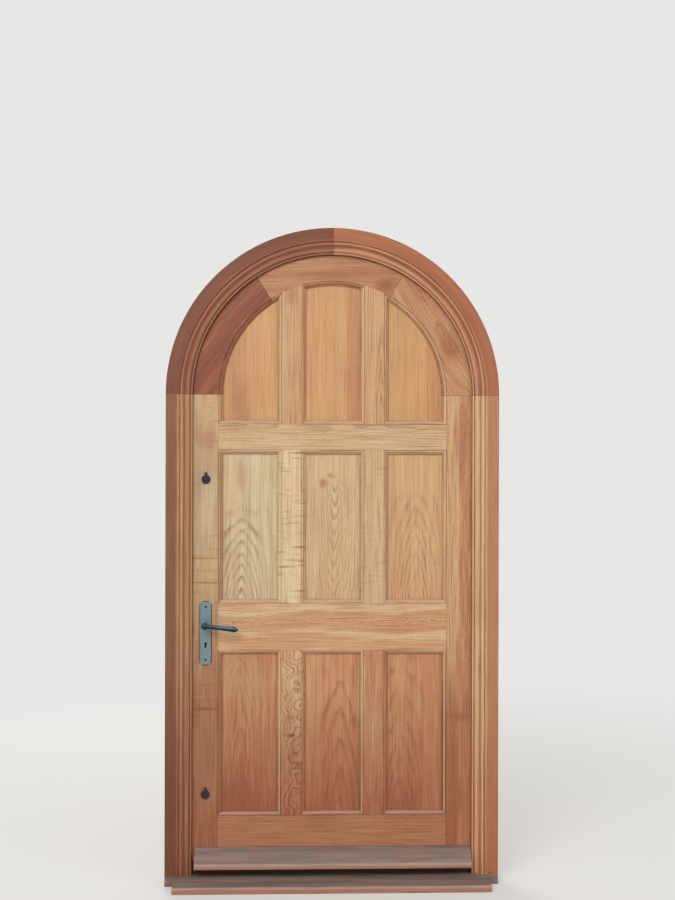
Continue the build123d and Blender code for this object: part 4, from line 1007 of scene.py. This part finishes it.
class DOOR_OT_screws(bpy.types.Operator):
    """Models the slotted screws of the hinges, forends, keeps and handle plates"""

    bl_idname = "door.screws"
    bl_label = "Screws"

    def execute(self, context):
        steel = metal("screw_steel", context.scene.door_metal.plate_edge, 0.8, 0.4, 0.3)
        hinges = [(y, centre + off) for centre in HINGE_HEIGHTS for y, off in HINGE_SCREWS]
        leaf = [((DOOR_HINGE_FACE, y, z), TOWARDS["-x"]) for y, z in hinges]
        leaf += [((FOREND_FACE, LEAF_MIDDLE, z), TOWARDS["+x"]) for z in LOCK_SCREWS]
        leaf += [((KEY_X, OUTER_FACE - PLATE_DEPTH, z), TOWARDS["+y"]) for z in PLATE_SCREWS]
        leaf += [((KEY_X, INNER_FACE + PLATE_DEPTH, z), TOWARDS["-y"]) for z in PLATE_SCREWS]
        fixed = [((FRAME_HINGE_FACE, y, z), TOWARDS["+x"]) for y, z in hinges]
        fixed += [((KEEP_FACE, LEAF_MIDDLE, z), TOWARDS["-x"]) for z in LOCK_SCREWS]
        set_screws("slotted_leaf_screws", leaf, "leaf", "leaf_screws", steel)
        set_screws("slotted_frame_screws", fixed, "frame", "frame_screws", steel)
        return {"FINISHED"}


def model_curtain():
    """One keyhole-shaped plug in the leaf's plane, its round part's middle at the origin."""
    bpy.ops.object.select_all(action="DESELECT")
    bpy.ops.mesh.primitive_cylinder_add(
        vertices=32, radius=CURTAIN_RADIUS, depth=CURTAIN_DEPTH, location=(0, 0, 0), rotation=(QUARTER, 0, 0)
    )
    curtain = bpy.context.object
    bpy.ops.object.transform_apply(rotation=True)
    bpy.ops.object.mode_set(mode="EDIT")
    bpy.ops.mesh.select_mode(type="FACE")
    pick(curtain, lambda middle, normal: normal.z < -0.68)
    draw_down(CURTAIN_DROP)
    pick(curtain, lambda middle, normal: abs(normal.y) > 0.9)
    bpy.ops.mesh.inset(thickness=CURTAIN_RIM)
    face_outwards(curtain)
    bpy.ops.object.mode_set(mode="OBJECT")
    return curtain


class DOOR_OT_curtains(bpy.types.Operator):
    """Models a near-black plug in each keyhole, painted shade for the dark inside its lock"""

    bl_idname = "door.curtains"
    bl_label = "Keyhole Curtains"

    def execute(self, context):
        pattern = model_curtain()
        # Painted shade: the plug's near-black tone stands for the dark inside the lock.
        pattern.data.materials.append(metal("curtain_steel", tone(18, 17, 18), 0.3, 0.6, 0.2))
        for number, height in enumerate(KEYHOLES, 1):
            curtain = copy_of(pattern)
            curtain.name = f"keyhole_curtain_{number}"
            curtain.location = (KEY_X, LEAF_MIDDLE, height)
            bpy.ops.object.transform_apply(location=True)
            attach(curtain, "leaf")
        bpy.data.objects.remove(pattern)
        return {"FINISHED"}


class DOOR_OT_locks(bpy.types.Operator):
    """Finishes the lock cases, bolts, keeps and hinges"""

    bl_idname = "door.locks"
    bl_label = "Locks and Hinges"

    def execute(self, context):
        steel = metal("lock_steel", context.scene.door_metal.steel, 0.9, 0.38, 0.2, brushed=True)
        paint(steel, "sash_lock_case", "upper_deadlock_case", "lower_deadlock_case")
        paint(steel, "sash_keep", "upper_keep", "lower_keep")
        paint(steel, "spindle", "follower", "latch_bolt", "sash_deadbolt", "upper_deadbolt", "lower_deadbolt")
        hinges = [f"hinge_{side}_leaf_{number}" for side in ("frame", "door") for number in (1, 2, 3)]
        paint(steel, "hinge_pins", *hinges)
        return {"FINISHED"}


class DOOR_OT_stage(bpy.types.Operator):
    """Makes the floor, the lamps, the pale background and the camera"""

    bl_idname = "door.stage"
    bl_label = "Stage"

    def execute(self, context):
        settings = context.scene.door_stage
        make_floor(settings)
        make_background(settings)
        make_lamp("key_lamp", KEY_PLACE, settings.key_power, KEY_SIZE)
        make_lamp("side_lamp", SIDE_PLACE, settings.fill_power, FILL_SIZE)
        make_lamp("back_lamp", BACK_PLACE, settings.fill_power * 2.5, FILL_SIZE)
        make_camera()
        context.scene.view_settings.view_transform = "Standard"
        return {"FINISHED"}


def make_floor(settings):
    """A pale floor that fades into the background away from the door."""
    bpy.ops.object.select_all(action="DESELECT")
    bpy.ops.mesh.primitive_grid_add(
        x_subdivisions=8, y_subdivisions=8, size=FLOOR_SIZE, location=(0, 0, FLOOR_DEPTH)
    )
    floor = bpy.context.object
    floor.name = "floor"
    work = Finish("floor_pale")
    grit = work.noise(work.place, scale=40.0, detail=3.0)
    work.set(Base_Color=work.mix(grit * 0.08, settings.floor, (1, 1, 1)), Roughness=0.85)
    pale = work.node("ShaderNodeEmission", {}, {"Color": ROOM_TONE, "Strength": 1.0})
    seen = work.node("ShaderNodeLightPath", out="Is Camera Ray")
    away = (work.x * work.x + work.y * work.y).root().smooth(*FLOOR_FADE)
    bare = Term(work, work.shader.outputs[0])
    blend = work.node("ShaderNodeMixShader", {}, {0: seen * (away * 0.7 + 0.3), 1: bare, 2: pale})
    work.tree.links.new(blend.socket, work.output.inputs["Surface"])
    floor.data.materials.append(work.material)


def make_background(settings):
    """Even light from all round, which the camera, gloss and glass see as a pale wall."""
    world = bpy.data.worlds.new("pale_room")
    world.use_nodes = True
    bpy.context.scene.world = world
    nodes, links = world.node_tree.nodes, world.node_tree.links
    nodes.clear()
    path = nodes.new("ShaderNodeLightPath")
    seen = path.outputs["Is Camera Ray"]
    for ray in ("Is Glossy Ray", "Is Transmission Ray"):
        either = nodes.new("ShaderNodeMath")
        either.operation = "MAXIMUM"
        links.new(seen, either.inputs[0])
        links.new(path.outputs[ray], either.inputs[1])
        seen = either.outputs[0]
    choice, output = nodes.new("ShaderNodeMixShader"), nodes.new("ShaderNodeOutputWorld")
    links.new(seen, choice.inputs[0])
    for index, (colour, strength) in enumerate(((SKY_TONE, settings.sky), (ROOM_TONE, 1.0)), 1):
        light = nodes.new("ShaderNodeBackground")
        light.inputs["Color"].default_value = colour
        light.inputs["Strength"].default_value = strength
        links.new(light.outputs[0], choice.inputs[index])
    links.new(choice.outputs[0], output.inputs["Surface"])


def make_lamp(name, place, power, size):
    """A soft round lamp that faces the door's middle."""
    bpy.ops.object.light_add(type="AREA", location=place)
    lamp = bpy.context.object
    lamp.name = name
    lamp.data.shape = "DISK"
    lamp.data.size = size
    lamp.data.energy = power
    lamp.rotation_euler = (Vector(DOOR_MIDDLE) - Vector(place)).to_track_quat("-Z", "Y").to_euler()


def make_camera():
    bpy.ops.object.camera_add(location=CAMERA_PLACE)
    camera = bpy.context.object
    camera.name = "camera"
    camera.rotation_euler = [math.radians(angle) for angle in CAMERA_TURN]
    camera.data.sensor_width = SENSOR
    camera.data.lens = LENS
    camera.data.shift_y = SHIFT
    bpy.context.scene.camera = camera


OPERATORS = (
    DOOR_OT_frame_oak,
    DOOR_OT_stile_oak,
    DOOR_OT_rail_oak,
    DOOR_OT_panel_oak,
    DOOR_OT_weathered_oak,
    DOOR_OT_handles,
    DOOR_OT_locks,
    DOOR_OT_screws,
    DOOR_OT_curtains,
    DOOR_OT_stage,
)
SETTINGS = {
    "door_oak": DoorOakTones,
    "door_grain": DoorGrain,
    "door_metal": DoorMetal,
    "door_stage": DoorStage,
}


class DOOR_PT_panel(bpy.types.Panel):
    """Lists the settings and the steps of the door"""

    bl_idname = "DOOR_PT_panel"
    bl_label = "Oak Door"
    bl_space_type = "VIEW_3D"
    bl_region_type = "UI"
    bl_category = "Oak Door"

    def draw(self, context):
        for name, group in SETTINGS.items():
            column = self.layout.box().column()
            for field in group.__annotations__:
                column.prop(getattr(context.scene, name), field)
        for operator in OPERATORS:
            self.layout.operator(operator.bl_idname)


def register():
    for group in SETTINGS.values():
        bpy.utils.register_class(group)
    for name, group in SETTINGS.items():
        setattr(bpy.types.Scene, name, PointerProperty(type=group))
    for operator in OPERATORS:
        bpy.utils.register_class(operator)
    bpy.utils.register_class(DOOR_PT_panel)


def unregister():
    bpy.utils.unregister_class(DOOR_PT_panel)
    for operator in reversed(OPERATORS):
        bpy.utils.unregister_class(operator)
    for name in SETTINGS:
        delattr(bpy.types.Scene, name)
    for group in SETTINGS.values():
        bpy.utils.unregister_class(group)


def main():
    register()
    for operator in OPERATORS:
        group, step = operator.bl_idname.split(".")
        getattr(getattr(bpy.ops, group), step)()


if __name__ == "__main__":
    main()
